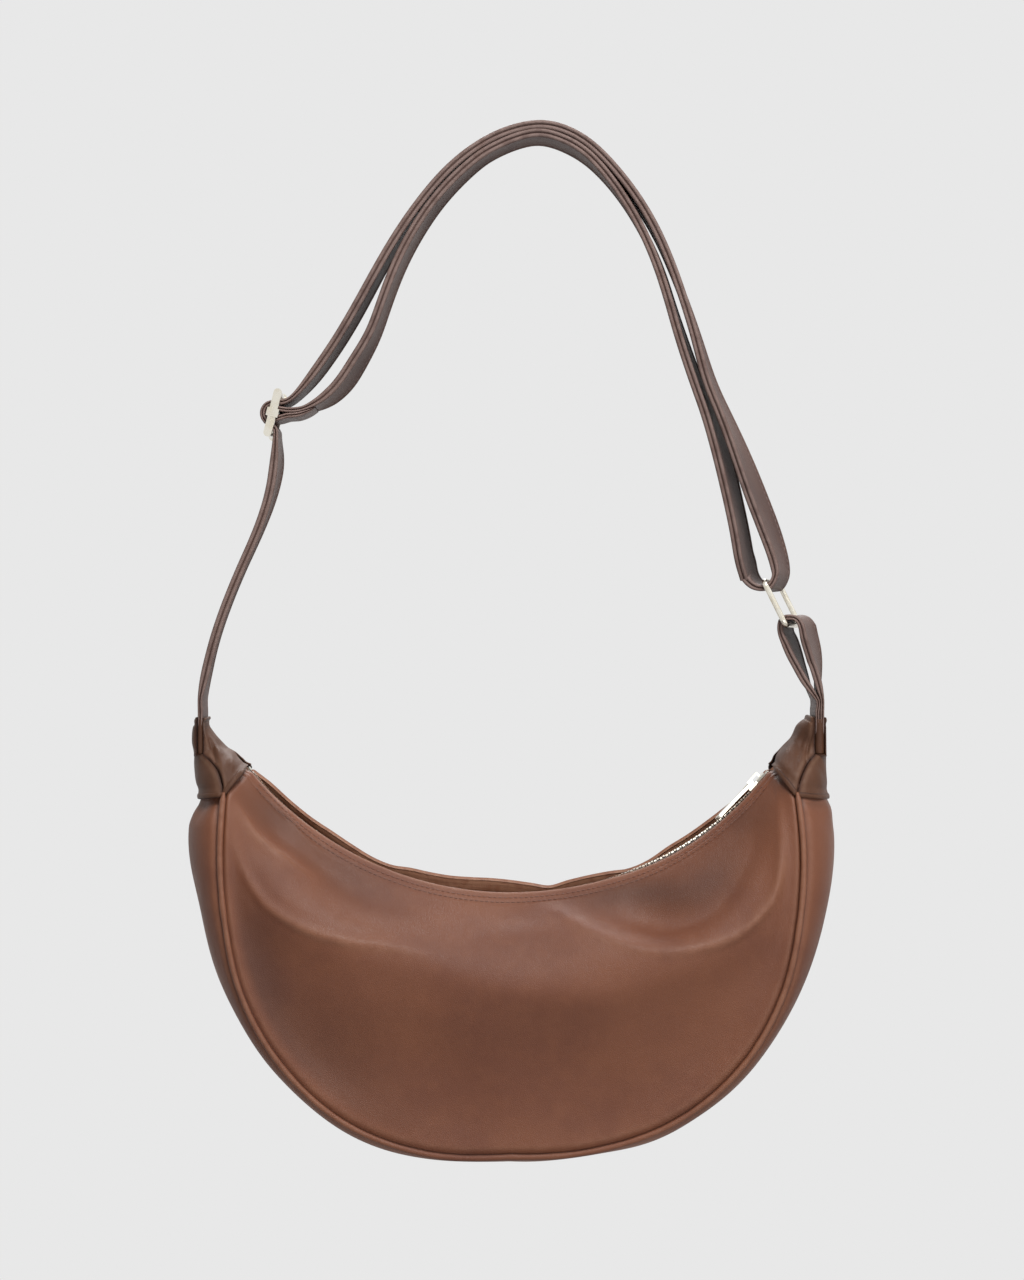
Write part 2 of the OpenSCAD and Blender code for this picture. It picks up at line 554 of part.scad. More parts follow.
// One tooth seen from above: a root on the tape, a neck and a head that reaches past the middle
module tooth() {
    linear_extrude(tooth_h, center = true) polygon([
        [-tooth_w / 2, -tooth_root], [tooth_w / 2, -tooth_root], [tooth_w / 2, -tooth_root / 2],
        [tooth_neck, -tooth_root / 3], [tooth_w / 2, 0], [tooth_neck, tooth_cross],
        [-tooth_neck, tooth_cross], [-tooth_w / 2, 0], [-tooth_neck, -tooth_root / 3],
        [-tooth_w / 2, -tooth_root / 2]]);
}
// Teeth fill the chain from the bottom stop to the top stops
chain_start = -mouth_angle + (stop_l + 2 * swing_gap + tooth_w) * arc_mm;
teeth = floor((stop_angle - stop_l / 2 * arc_mm - chain_start) / (tooth_pitch * arc_mm) - 0.5);
module teeth_row(face) {
    start = chain_start + (face == FRONT ? 0 : tooth_pitch / 2 * arc_mm);
    color(metal) for (i = [0:teeth - 1]) {
        a = start + i * tooth_pitch * arc_mm;
        on_chain(a) mirror([0, face == FRONT ? 0 : 1, 0]) translate([0, -parting(a), 0]) tooth();
    }
}
module zip_teeth_front() { teeth_row(FRONT); }
module zip_teeth_back() { teeth_row(BACK); }
module zip_top_stops() {
    color(metal) for (y = [-1, 1]) on_chain(stop_angle)
        translate([0, y * (tooth_part + tooth_root / 2), 0])
            cube([stop_l, tooth_root, tooth_h], center = true);
}
module zip_bottom_stop() {
    color(metal) on_chain(-mouth_angle + (stop_l / 2 + swing_gap) * arc_mm)
        cube([stop_l, 2 * tooth_root, tooth_h], center = true);
}

// The slider: two plates with edges turned to each other, a post between them and an arch on top
plate_t = 1;        // thickness of each plate
channel = tooth_h / 2 + layer_gap;
rim = 0.9;          // thickness of the turned edges
rear_half = tooth_root + layer_gap + rim;
front_half = rear_half + tooth_part;
tape_play = 0.35;   // clearance of the tape on each side in the slider
tape_slot = tape_t / 2 + tape_play;
arch_t = 0.9;       // thickness, width and half length of the arch over the puller's pin
arch_w = 2.4;
arch_half = 3.5;
pivot_r = 0.75;     // room for the pin under the arch
pivot_x = -arch_half + arch_t + layer_gap + pivot_r;
pivot_z = channel + plate_t + layer_gap + pivot_r;
post_half = tooth_part - tooth_cross - layer_gap;
// Where the post's wedge starts and where it is full, as shares of half the slider's length
post_tip_share = 0.62;
post_full_share = 0.9;
post_tip = slider_half * post_tip_share;
post_full = slider_half * post_full_share;
// Outline of the slider, or with a cut that runs out at its ends the hollow inside its rims
module slider_plan(cut) {
    rear = rear_half - rim * sign(cut);
    front = front_half - rim * sign(cut);
    end = slider_half + cut;
    polygon([[-end, -rear], [0, -rear], [end, -front], [end, front], [0, rear], [-end, rear]]);
}
module zip_slider() {
    color(metal) on_chain(slider_angle) {
        for (z = [-1, 1]) mirror([0, 0, z < 0 ? 1 : 0]) {
            translate([0, 0, channel]) linear_extrude(plate_t) slider_plan(0);
            difference() {
                translate([0, 0, tape_slot])
                    linear_extrude(channel - tape_slot + over / 2) slider_plan(0);
                translate([0, 0, tape_slot - over])
                    linear_extrude(channel - tape_slot + over) slider_plan(over);
            }
        }
        linear_extrude(2 * channel + over, center = true)
            polygon([[post_tip, 0], [post_full, -post_half], [slider_half, -post_half],
                [slider_half, post_half], [post_full, post_half]]);
        difference() {
            translate([-arch_half, -arch_w / 2, channel + plate_t - over / 2])
                cube([2 * arch_half, arch_w, 2 * (pivot_r + layer_gap) + arch_t + over / 2]);
            translate([-arch_half + arch_t, -arch_w, channel + plate_t])
                cube([2 * (arch_half - arch_t), 2 * arch_w, 2 * (pivot_r + layer_gap)]);
        }
    }
}

// The puller: a cross pin under the arch, two arms beside it and a long tab with a hole
puller_t = 1.4;   // thickness of the puller
arm_w = 1.2;      // width of each arm beside the arch
arm_in = arch_w / 2 + swing_gap;
window_l = arch_half - pivot_x + over;
puller_half = arm_in + arm_w;
hole_r = 1.2;     // radius of the hole in the puller's end
puller_tilt = asin((puller_l * puller_l / (2 * mouth_r) + tooth_h / 2 + swing_gap + puller_t / 2 - pivot_z)
    / puller_l);
module zip_puller() {
    color(metal) on_chain(slider_angle) translate([pivot_x, 0, pivot_z]) rotate([0, puller_tilt, 0]) {
        translate([0, -arm_in - over, 0]) rotate([-90, 0, 0])
            cylinder(r = puller_t / 2, h = 2 * (arm_in + over));
        translate([0, 0, -puller_t / 2]) linear_extrude(puller_t) difference() {
            union() {
                translate([-puller_l + puller_half, -puller_half])
                    square([puller_l - puller_half, 2 * puller_half]);
                translate([-puller_l + puller_half, 0]) circle(puller_half);
            }
            translate([-window_l, -arm_in]) square([window_l + over, 2 * arm_in]);
            translate([-puller_l + puller_half, 0]) circle(hole_r);
        }
    }
}

shoulder_strap();
tab_loop();
adjuster_frame();
adjuster_bar();
rect_ring();
front_panel();
back_panel();
gusset();
piping_front();
piping_back();
cap_left_side();
cap_left_front();
cap_left_back();
cap_left_binding();
cap_right_side();
cap_right_front();
cap_right_back();
cap_right_binding();
lining_front();
lining_back();
lining_gusset();
zip_tape_front();
zip_tape_back();
zip_teeth_front();
zip_teeth_back();
zip_top_stops();
zip_bottom_stop();
zip_slider();
zip_puller();
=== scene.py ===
"""Russet leather crescent bag on a long adjustable strap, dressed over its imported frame."""

from __future__ import annotations

import logging
import math
from dataclasses import dataclass, field
from enum import Enum
from typing import Any, Sequence

import bpy
import numpy as np
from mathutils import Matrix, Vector

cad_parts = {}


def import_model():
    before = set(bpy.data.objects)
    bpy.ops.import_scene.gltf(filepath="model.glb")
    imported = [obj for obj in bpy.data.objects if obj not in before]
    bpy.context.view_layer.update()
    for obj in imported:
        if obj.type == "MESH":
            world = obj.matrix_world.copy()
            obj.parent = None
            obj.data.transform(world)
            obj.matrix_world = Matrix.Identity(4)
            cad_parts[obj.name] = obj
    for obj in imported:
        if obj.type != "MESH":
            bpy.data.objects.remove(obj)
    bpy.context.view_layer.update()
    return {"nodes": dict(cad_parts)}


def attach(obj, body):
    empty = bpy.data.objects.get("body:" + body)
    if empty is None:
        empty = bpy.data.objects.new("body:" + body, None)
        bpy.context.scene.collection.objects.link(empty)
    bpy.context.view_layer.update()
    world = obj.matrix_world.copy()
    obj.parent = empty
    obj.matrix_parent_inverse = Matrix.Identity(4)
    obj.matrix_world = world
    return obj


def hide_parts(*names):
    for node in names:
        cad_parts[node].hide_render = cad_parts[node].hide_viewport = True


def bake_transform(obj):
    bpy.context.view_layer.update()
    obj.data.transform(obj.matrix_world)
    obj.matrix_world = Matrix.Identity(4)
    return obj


Array = np.ndarray
Pair = tuple[float, float]
Triple = tuple[float, float, float]
LOG = logging.getLogger("bag")
MM = 0.001  # metres in a millimetre
TINY = 1e-9  # keeps a length of 0 out of a division
INSIDE = np.array([0.0, 0.0, -110.0])  # a point inside the bag, in the bag's own frame
WAVES = 7  # waves in one unevenness
WAVE_SUM = 3.2  # about what they add up to at most
EDGE_SHARE = 0.35  # of a sheet's thickness that its cut edges are rounded by
STITCH_SHARE = 0.8  # of the distance from stitch to stitch that a stitch covers
STITCH = np.array([  # along a stitch: the place, the width and the rise, as shares
    (-0.5, 0.3, -0.25), (-0.36, 0.85, 0.12), (0.0, 1.0, 0.3), (0.36, 0.85, 0.12),
    (0.5, 0.3, -0.25)])
SENSOR = 36.0  # the width of the camera's sensor in millimetres


class Face(Enum):
    """The bag's two large faces."""

    FRONT = -1
    BACK = 1


class Side(Enum):
    """The bag's two horns."""

    LEFT = -1
    RIGHT = 1


def mix(a: Any, b: Any, k: Any) -> Any:
    """Return the value a share k of the way from a to b."""
    return a + (b - a) * k


def ease(x: Any) -> Any:
    """Return a smooth step from 0 at x = 0 to 1 at x = 1."""
    k = np.clip(x, 0.0, 1.0)
    return k * k * (3.0 - 2.0 * k)


def bell(x: Any) -> Any:
    """Return a bell curve that is 1 at 0 and falls to 0.37 at 1."""
    return np.exp(-np.square(x))


def unit(v: Array) -> Array:
    """Return vectors of length 1 along the last axis."""
    return v / np.maximum(np.linalg.norm(v, axis=-1, keepdims=True), TINY)


def ridge(far: Any, height: float, width: float, place: float = 0.0) -> Any:
    """Return the relief of a ridge, or below 0 of a groove, at distances from an edge."""
    return height * bell((far - place) / width)


def smooth(table: Sequence[Any], s: Any) -> Array:
    """Follow a smooth curve through the rows of a table.

    Args:
        table: Rows of one number or several.
        s: Places along the table, from 0 at the first row to 1 at the last.

    Returns:
        The curve's values at s.
    """
    rows = np.asarray(table, float)
    last = len(rows) - 1
    place = np.clip(np.asarray(s, float), 0.0, 1.0) * last
    i = np.minimum(place.astype(int), last - 1)
    k = place - i
    if rows.ndim > 1:
        k = k[..., None]
    a, b = rows[np.maximum(i - 1, 0)], rows[i]
    c, d = rows[i + 1], rows[np.minimum(i + 2, last)]
    bend = 3 * (b - c) + d - a
    return b + k / 2 * (c - a + k * (2 * a - 5 * b + 4 * c - d + k * bend))


def wobble(p: Array, size: float, seed: int) -> Array:
    """Return a soft, even unevenness over points.

    Args:
        p: Points in millimetres, with the coordinates on the last axis.
        size: The width of one swell, in millimetres.
        seed: Picks one of the patterns.

    Returns:
        Values from about -1 to 1.
    """
    rng = np.random.default_rng(seed)
    total = np.zeros(p.shape[:-1])
    for _ in range(WAVES):
        way = unit(rng.normal(size=3)) * rng.uniform(0.6, 1.5) * 2 * math.pi / size
        total += np.sin(p @ way + rng.uniform(0, 2 * math.pi))
    return total / WAVE_SUM


@dataclass(frozen=True)
class Fold:
    """A ridge, or with a height below 0 a crease, that runs over a panel as seen from the front.

    Attributes:
        points: The fold's line as (x, z) in millimetres from the middle of the pivot line.
        heights: How far it stands out at even steps along the line.
        above: Its width to the left of the line's way.
        below: Its width to the right of it.
        steps: Into how many points the line is cut.
        rubbed: Whether its crest gets a painted highlight in the scuffed colour.
    """

    points: tuple[Pair, ...]
    heights: tuple[float, ...]
    above: float
    below: float
    steps: int = 60
    rubbed: bool = False

    def raised(self, x: Array, z: Array) -> Array:
        """Find the fold's relief at places on a panel.

        Args:
            x: The places across the bag.
            z: The places up the bag.

        Returns:
            How far the fold lifts the leather there.
        """
        s = np.linspace(0, 1, self.steps)
        line = smooth(self.points, s)
        start, run = line[:-1], np.diff(line, axis=0)
        shape = x.shape
        p = np.stack([x.ravel(), z.ravel()], -1)[:, None, :]
        along = np.clip(((p - start) * run).sum(-1) / (run * run).sum(-1), 0, 1)
        off = p - (start + along[..., None] * run)
        far = np.linalg.norm(off, axis=-1)
        k = far.argmin(1)
        rows = np.arange(len(k))
        gap, place = far[rows, k], (k + along[rows, k]) / (self.steps - 1)
        over = run[k, 0] * off[rows, k, 1] - run[k, 1] * off[rows, k, 0] >= 0
        width = np.where(over, self.above, self.below)
        return (smooth(self.heights, place) * bell(gap / width)).reshape(shape)


@dataclass(frozen=True)
class Dent:
    """A soft hollow, or with a depth below 0 a swell, in a panel as seen from the front.

    Attributes:
        x: Its middle across the bag, in millimetres from the middle of the pivot line.
        z: Its middle up the bag.
        wide: Its reach to either side.
        tall: Its reach up and down.
        turn: By how many degrees it is turned.
        depth: How deep its middle is.
    """

    x: float
    z: float
    wide: float
    tall: float
    turn: float
    depth: float

    def sunk(self, x: Array, z: Array) -> Array:
        """Find the dent's depth at places on a panel.

        Args:
            x: The places across the bag.
            z: The places up the bag.

        Returns:
            How far the dent draws the leather in there.
        """
        c, s = math.cos(math.radians(self.turn)), math.sin(math.radians(self.turn))
        a = (x - self.x) * c + (z - self.z) * s
        b = (z - self.z) * c - (x - self.x) * s
        return self.depth * np.exp(-np.square(a / self.wide) - np.square(b / self.tall))


@dataclass(frozen=True)
class Skin:
    """The curves that the bag's leather follows, in millimetres from the middle of its pivot line.

    The mouth is an arc of radius mouth_r. The outline and the seams run round a point body_drop
    below the pivot line, and their tables go in even steps from straight down to turn_end
    degrees, in the horns. Lengths are in millimetres and angles in degrees.

    Attributes:
        middle_x: The middle of the pivot line, across from the hang point.
        drop: How far the pivot line is below the hang point.
        crown_share: Where a panel bulges most, as a share of its height under the mouth.
        seam_end: The angle at which the seams end.
        outline_end: The angle at which the outline ends.
        outline_left: The outline's radius on the left, as shares of body_r.
        outline_right: The same on the right.
        inset: How far the seams lie inside the outline, as shares of gusset_bulge.
        depth: How far the seams lie apart, as shares of their distance straight down.
        back_lift: How far the back's lip stands above the arc, from left to right.
        front_lift: The same for the front's lip.
        lift_reach: How far to either side these two run.
        horn_from: Where along the crescent a panel starts to lose its bulge.
        horn_run: Over how much of it the bulge goes.
    """

    middle_x: float = -17.499
    drop: float = 293.5
    body_r: float = 161.0
    body_drop: float = 55.5
    half_depth: float = 36.0
    gusset_bulge: float = 20.3
    panel_bulge: float = 22.0
    mouth_r: float = 165.5
    mouth_span: float = 260.5
    mouth_drop: float = 20.295
    crown_share: float = 0.35
    crown_power: float = 2.0
    half_mouth: float = 7.0
    lip_step: float = 1.2
    seam_end: float = 99.0
    outline_end: float = 97.3
    turn_end: float = 105.0
    outline_left: tuple[float, ...] = (0.989, 1.014, 1.038, 1.024, 1.005, 0.995, 0.996, 0.979)
    outline_right: tuple[float, ...] = (0.989, 1.005, 1.035, 1.033, 1.017, 1.009, 1.006, 0.979)
    inset: tuple[float, ...] = (0.29, 0.295, 0.40, 0.435, 0.55, 0.80, 0.93, 0.74)
    depth: tuple[float, ...] = (1, 1, 1, 1, 1, 0.97, 0.86, 0.66)
    cap_depth: float = 12.85
    back_lift: tuple[float, ...] = (
        0, 2.4, 2.3, 2.0, 2.0, 1.0, -0.3, -0.4, 1.4, 1.9, 2.3, 3.0, 3.4, 2.7, 1.0, -1.2, 0.2, 0.5,
        -0.3, -2.2, -2.0, 0, 0.5, 1.0, 1.0, 0.6, 0)
    front_lift: tuple[float, ...] = (
        0, 0.7, 0.9, 0.9, 0.9, 0.9, 0.9, 0.9, 0.7, 0.2, -0.9, -1.4, -0.8, 0)
    lift_reach: float = 130.0
    horn_from: float = 0.7
    horn_run: float = 0.3
    full_power: float = 0.8
    cap_taper: float = 1.6

    @property
    def mouth_angle(self) -> float:
        """Return half of the angle that the mouth's curve spans, in degrees."""
        return math.degrees(math.asin(self.mouth_span / 2 / self.mouth_r))

    @property
    def mouth_z(self) -> float:
        """Return the height of the centre of the mouth's curve."""
        return self.mouth_r * math.cos(math.radians(self.mouth_angle)) - self.mouth_drop

    def crown(self, u: Array) -> Array:
        """Return how far a panel bulges, from 0 to 1, a share u of its height under the mouth."""
        k = np.power(np.clip(u, 0.0, 1.0), math.log(0.5) / math.log(self.crown_share))
        return np.power(np.clip(np.sin(math.pi * k), 0.0, 1.0), self.crown_power)

    def fullness(self, t: Array) -> Array:
        """Return how much of its bulge a panel has at t, 1 in the middle and 0 in the horns."""
        return np.cos(math.pi / 2 * np.clip(t, -1, 1)) ** self.full_power

    def outline_r(self, angle: Array, left: Array) -> Array:
        """Return the outline's radius at angles from straight down."""
        s = angle / self.turn_end
        return self.body_r * np.where(
            left, smooth(self.outline_left, s), smooth(self.outline_right, s))

    def around(self, r: Array, angle: Array, t: Array) -> tuple[Array, Array]:
        """Return x and z at a radius and an angle from straight down."""
        a = np.radians(angle)
        return np.where(t < 0, -1, 1) * r * np.sin(a), -self.body_drop - r * np.cos(a)

    def mouth(self, t: Array, deeper: float = 0.0) -> tuple[Array, Array]:
        """Find places on the mouth's edge.

        Args:
            t: Places along the crescent, from -1 in the left horn to 1 in the right.
            deeper: How far below the edge they are.

        Returns:
            x and z of the places.
        """
        a = np.radians(self.mouth_angle * t)
        r = self.mouth_r + deeper
        return r * np.sin(a), self.mouth_z - r * np.cos(a)

    def seam(self, t: Array) -> tuple[Array, Array]:
        """Find places on the seams.

        Args:
            t: Places along the crescent, -1 to 1.

        Returns:
            x and z of the places.
        """
        angle = self.seam_end * np.abs(t)
        inset = self.gusset_bulge * smooth(self.inset, angle / self.turn_end)
        return self.around(self.outline_r(angle, t < 0) - inset, angle, t)

    def seam_y(self, t: Array) -> Array:
        """Return half of the distance between the seams at t."""
        return self.half_depth * smooth(self.depth, self.seam_end * np.abs(t) / self.turn_end)

    def outline(self, t: Array) -> tuple[Array, Array]:
        """Return x and z of the outline at t."""
        angle = self.outline_end * np.abs(t)
        return self.around(self.outline_r(angle, t < 0), angle, t)

    def panel(self, t: Array, v: Array, face: Face, clear: float) -> Array:
        """Place the front or back panel.

        Args:
            t: Places along the crescent, -1 to 1.
            v: Places from the mouth, 0, to the seam, 1.
            face: The panel's side of the bag.
            clear: How far from the seam's middle the panel ends.

        Returns:
            Points in millimetres, with x, y and z on the last axis.
        """
        horn = ease((np.abs(t) - self.horn_from) / self.horn_run)
        full = self.fullness(t)
        mx, mz = self.mouth(t)
        across = (mx / self.lift_reach + 1) / 2
        if face is Face.BACK:
            mz = mz + self.lip_step * full + smooth(self.back_lift, across)
        else:
            mz = mz + smooth(self.front_lift, across)
        sx, sz = self.seam(t)
        step = 0.01
        ax, az = self.seam(t + step)
        bx, bz = self.seam(t - step)
        run = np.hypot(ax - bx, az - bz)
        square = np.abs((ax - bx) * (sz - mz) - (az - bz) * (sx - mx)) / run
        u = v * (1 - clear / square)
        y = self.seam_y(t)
        swell = mix(self.half_mouth, y, u) + self.panel_bulge * full * self.crown(u)
        plain = mix(self.half_mouth, y, np.sin(math.pi / 2 * u))
        return np.stack([mix(mx, sx, u), face.value * mix(swell, plain, horn), mix(mz, sz, u)], -1)

    def gusset(self, t: Array, v: Array, clear: float) -> Array:
        """Place the gusset.

        Args:
            t: Places along the crescent, -1 to 1.
            v: Places from the front seam, -1, over the outline to the back seam, 1.
            clear: How far from the seams' middles the gusset ends.

        Returns:
            Points in millimetres, with x, y and z on the last axis.
        """
        sx, sz = self.seam(t)
        ox, oz = self.outline(t)
        wide = np.hypot(ox - sx, oz - sz)
        reach = 1 - np.degrees(np.arcsin(np.minimum(clear / wide, 1))) / 90
        a = math.pi / 2 * v * reach
        k = np.cos(a)
        return np.stack([mix(sx, ox, k), self.seam_y(t) * np.sin(a), mix(sz, oz, k)], -1)

    def seam_line(self, t: Array, face: Face) -> Array:
        """Return the points of the front or back seam."""
        x, z = self.seam(t)
        return np.stack([x, face.value * self.seam_y(t), z], -1)

    def cap_y(self, h: Array) -> Array:
        """Return half of a cap's depth at h, 0 at its lower edge and 1 at its tip."""
        return mix(float(self.seam_y(np.array(1.0))), self.cap_depth, ease(h * self.cap_taper))

    def placed(self, p: Array) -> Array:
        """Move points from the bag's own frame into the hanging frame."""
        return p + np.array([self.middle_x, 0.0, -self.drop])


SKIN = Skin()


def crossed(points: Array) -> Array:
    """Return the way across a grid of points at each of them, of any length."""
    return np.cross(np.gradient(points, axis=0), np.gradient(points, axis=1))


@dataclass
class Sheet:
    """A grid of points with the way out of the leather at each of them."""

    points: Array
    out: Array

    @classmethod
    def over(cls, points: Array, middle: Array) -> Sheet:
        """Make a sheet whose outer side faces away from a middle point.

        Args:
            points: The grid's points.
            middle: A point, or one for each row, on its inner side.

        Returns:
            The sheet.
        """
        out = unit(crossed(points))
        if ((points - middle) * out).sum(-1).mean() < 0:
            out = -out
        return cls(points, out)

    def moved(self, by: Array) -> Sheet:
        """Move the sheet's points outwards.

        Args:
            by: How far to move each point, in millimetres.

        Returns:
            The new sheet.
        """
        points = self.points + self.out * by[..., None]
        out = unit(crossed(points))
        same = np.sign((out * self.out).sum(-1, keepdims=True).mean())
        return Sheet(points, out * same)

    def reach(self) -> tuple[Array, Array]:
        """Measure along the rows.

        Returns:
            The distance of each point from the first and from the last column.
        """
        steps = np.linalg.norm(np.diff(self.points, axis=1), axis=-1)
        far = np.concatenate([np.zeros((len(steps), 1)), np.cumsum(steps, 1)], 1)
        return far, far[:, -1:] - far

    def near(self) -> Array:
        """Return the distance of each point from the nearer of the two outer columns."""
        return np.minimum(*self.reach())

    def hung(self) -> Sheet:
        """Return the sheet moved from the bag's own frame into the hanging frame."""
        return Sheet(SKIN.placed(self.points), self.out)


def grid_quads(rows: int, cols: int, ring: bool = False) -> Array:
    """Make the faces of a grid of points that lie row after row.

    Args:
        rows: How many rows it has.
        cols: How many points a row has.
        ring: Whether the rows are joined round.

    Returns:
        The faces as rows of four point numbers.
    """
    i, j = np.meshgrid(np.arange(rows - 1), np.arange(cols if ring else cols - 1), indexing="ij")
    a, b = i * cols + j, i * cols + (j + 1) % cols
    return np.stack([a, b, b + cols, a + cols], -1).reshape(-1, 4)


def framed(path: Array, side: Array) -> tuple[Array, Array]:
    """Find the two ways of the cross-sections along a path.

    Args:
        path: Points of the middle line.
        side: For each point, or for all, about the way of the section's first axis.

    Returns:
        The ways of the first and of the second axis at each point.
    """
    along = unit(np.gradient(path, axis=0))
    side = np.broadcast_to(side, path.shape)
    wide = unit(side - (side * along).sum(-1, keepdims=True) * along)
    return wide, np.cross(wide, along)


def round_section(r: float, sides: int) -> Array:
    """Return the corners of a round cross-section."""
    a = np.arange(sides) * 2 * math.pi / sides
    return np.stack([r * np.cos(a), r * np.sin(a)], -1)


def linked(name: str, data: Any) -> bpy.types.Object:
    """Put a new object into the scene.

    Args:
        name: The object's name.
        data: Its mesh, lamp or camera.

    Returns:
        The object.
    """
    thing = bpy.data.objects.new(name, data)
    bpy.context.scene.collection.objects.link(thing)
    return thing


def soften(piece: bpy.types.Object, width: float, angle: float = 50.0) -> None:
    """Round the sharp edges of a piece.

    Args:
        piece: The piece.
        width: How much of each side the rounding takes, in millimetres.
        angle: How many degrees an edge has to turn to be rounded.
    """
    bevel = piece.modifiers.new("soft_edges", "BEVEL")
    bevel.width = width * MM
    bevel.segments = 2
    bevel.limit_method = "ANGLE"
    bevel.angle_limit = math.radians(angle)
    bevel.harden_normals = False


@dataclass(frozen=True)
class Label:
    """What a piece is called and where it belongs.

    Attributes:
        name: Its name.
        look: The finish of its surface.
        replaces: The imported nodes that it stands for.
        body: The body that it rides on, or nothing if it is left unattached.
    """

    name: str
    look: Finish
    replaces: tuple[str, ...] = ()
    body: str = "bag"


class Bench:
    """Makes mesh objects, sets them on their bodies and reports them."""

    def __init__(self) -> None:
        """Start with no pieces."""
        self.count = 0

    def mesh(self, label: Label, points: Array, faces: list[list[int]],
             wear: Array | None = None) -> bpy.types.Object:
        """Make one piece from points and faces.

        Args:
            label: What it is called and where it belongs.
            points: Points in millimetres in the hanging frame.
            faces: Faces as lists of point numbers.
            wear: Scuffs and painted light up to 1, and painted shade below 0, as in a groove.

        Returns:
            The new object.
        """
        data = bpy.data.meshes.new(label.name)
        data.from_pydata((points.reshape(-1, 3) * MM).tolist(), [], faces)
        data.validate()
        data.polygons.foreach_set("use_smooth", [True] * len(data.polygons))
        if wear is not None:
            layer = data.attributes.new("wear", "FLOAT", "POINT")
            layer.data.foreach_set("value", wear.ravel().astype(np.float32))
        piece = linked(label.name, data)
        data.materials.append(label.look.material())
        if label.body:
            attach(piece, label.body)
        if label.replaces:
            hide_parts(*label.replaces)
        self.count += 1
        LOG.info("%s on %s: %d points", label.name, label.body or "two bodies", len(data.vertices))
        return piece

    def hide(self, label: Label, sheet: Sheet, thick: float, wear: Array | None = None,
             inside: Any = 0.0) -> None:
        """Make a sheet of leather or cloth with its inner side and its cut edges.

        Args:
            label: What it is called and where it belongs.
            sheet: The outer side, in the hanging frame.
            thick: Its thickness in millimetres.
            wear: The scuffs, painted light and painted shade of each point of the outer side.
            inside: The same for the inner side, where the back's lip gets painted light.
        """
        rows, cols = sheet.points.shape[:2]
        n = rows * cols
        inner = sheet.points - sheet.out * thick
        outward = (crossed(sheet.points) * sheet.out).sum(-1).mean() > 0
        front = grid_quads(rows, cols)
        faces = [front if outward else front[:, ::-1]]
        faces.append(faces[0][:, ::-1] + n)
        rim = [np.arange(cols), np.arange(rows) * cols + cols - 1,
               (rows - 1) * cols + np.arange(cols)[::-1], np.arange(rows)[::-1] * cols]
        for edge in rim:
            strip = np.stack([edge[:-1], edge[:-1] + n, edge[1:] + n, edge[1:]], -1)
            faces.append(strip if outward else strip[:, ::-1])
        every = np.concatenate([sheet.points.reshape(-1, 3), inner.reshape(-1, 3)])
        if wear is not None:
            wear = np.concatenate([wear.ravel(), (inside + 0 * wear).ravel()])
        piece = self.mesh(label, every, np.concatenate(faces).tolist(), wear)
        soften(piece, thick * EDGE_SHARE)

    def tube(self, label: Label, path: Array, sections: Array, side: Array,
             wear: Array) -> bpy.types.Object:
        """Make a closed tube or band along a path.

        Args:
            label: What it is called and where it belongs.
            path: Points of the middle line, in the hanging frame.
            sections: For each point, or for all, the cross-section's (side, up) pairs.
            side: For each point, or for all, the way of the section's first axis.
            wear: The scuffs, painted light and painted shade of each point.

        Returns:
            The new object.
        """
        wide, up = framed(path, side)
        pairs = np.broadcast_to(sections, (len(path), *np.shape(sections)[-2:]))
        points = path[:, None] + wide[:, None] * pairs[..., :1] + up[:, None] * pairs[..., 1:]
        rows, cols = points.shape[:2]
        every = np.concatenate([points.reshape(-1, 3), points[:1].mean(1), points[-1:].mean(1)])
        k = np.arange(cols)
        after, last, middle = (k + 1) % cols, (rows - 1) * cols, rows * cols
        faces = grid_quads(rows, cols, ring=True)[:, ::-1].tolist()
        faces += np.stack([k, after, 0 * k + middle], -1).tolist()
        faces += np.stack([last + after, last + k, 0 * k + middle + 1], -1).tolist()
        return self.mesh(label, every, faces, np.concatenate([wear.ravel(), [0.0, 0.0]]))

    def stitches(self, label: Label, path: Array, out: Array, pitch: float,
                 thick: float) -> None:
        """Sew a line of stitches along a path.

        Args:
            label: What the line is called and where it belongs.
            path: Points on the leather, in the hanging frame.
            out: The way out of the leather at each point.
            pitch: Distance from stitch to stitch in millimetres.
            thick: The thread's thickness.
        """
        def at(values: Array, places: Array) -> Array:
            """Return values along the path at places in millimetres."""
            return np.stack([np.interp(places, far, values[:, k]) for k in range(3)], -1)

        def spread(way: Array, by: Array) -> Array:
            """Return how far each corner of each stitch is moved one way."""
            return way[:, None, None] * by[None, ..., None]

        steps = np.linalg.norm(np.diff(path, axis=0), axis=-1)
        far = np.concatenate([[0], np.cumsum(steps)])
        number = max(int(far[-1] / pitch), 2)
        centres = (np.arange(number) + 0.5) * far[-1] / number
        middle, up = at(path, centres), unit(at(out, centres))
        along = unit(at(path, centres + 0.5) - middle)
        across = np.cross(up, along)
        ring = round_section(1.0, 6)
        width, rise = STITCH[:, 1:2] * thick / 2, STITCH[:, 2:] * thick
        points = (middle[:, None, None]
                  + spread(along, STITCH[:, :1] * pitch * STITCH_SHARE)
                  + spread(across, width * ring[:, 0])
                  + spread(up, width * ring[:, 1] + rise))
        rows, cols = len(STITCH), len(ring)
        ends = np.array([[5, 4, 3, 2], [5, 2, 1, 0], [24, 25, 26, 27], [24, 27, 28, 29]])
        one = np.concatenate([grid_quads(rows, cols, ring=True), ends])
        faces = (one[None] + (np.arange(number) * rows * cols)[:, None, None]).reshape(-1, 4)
        self.mesh(label, points, faces.tolist())


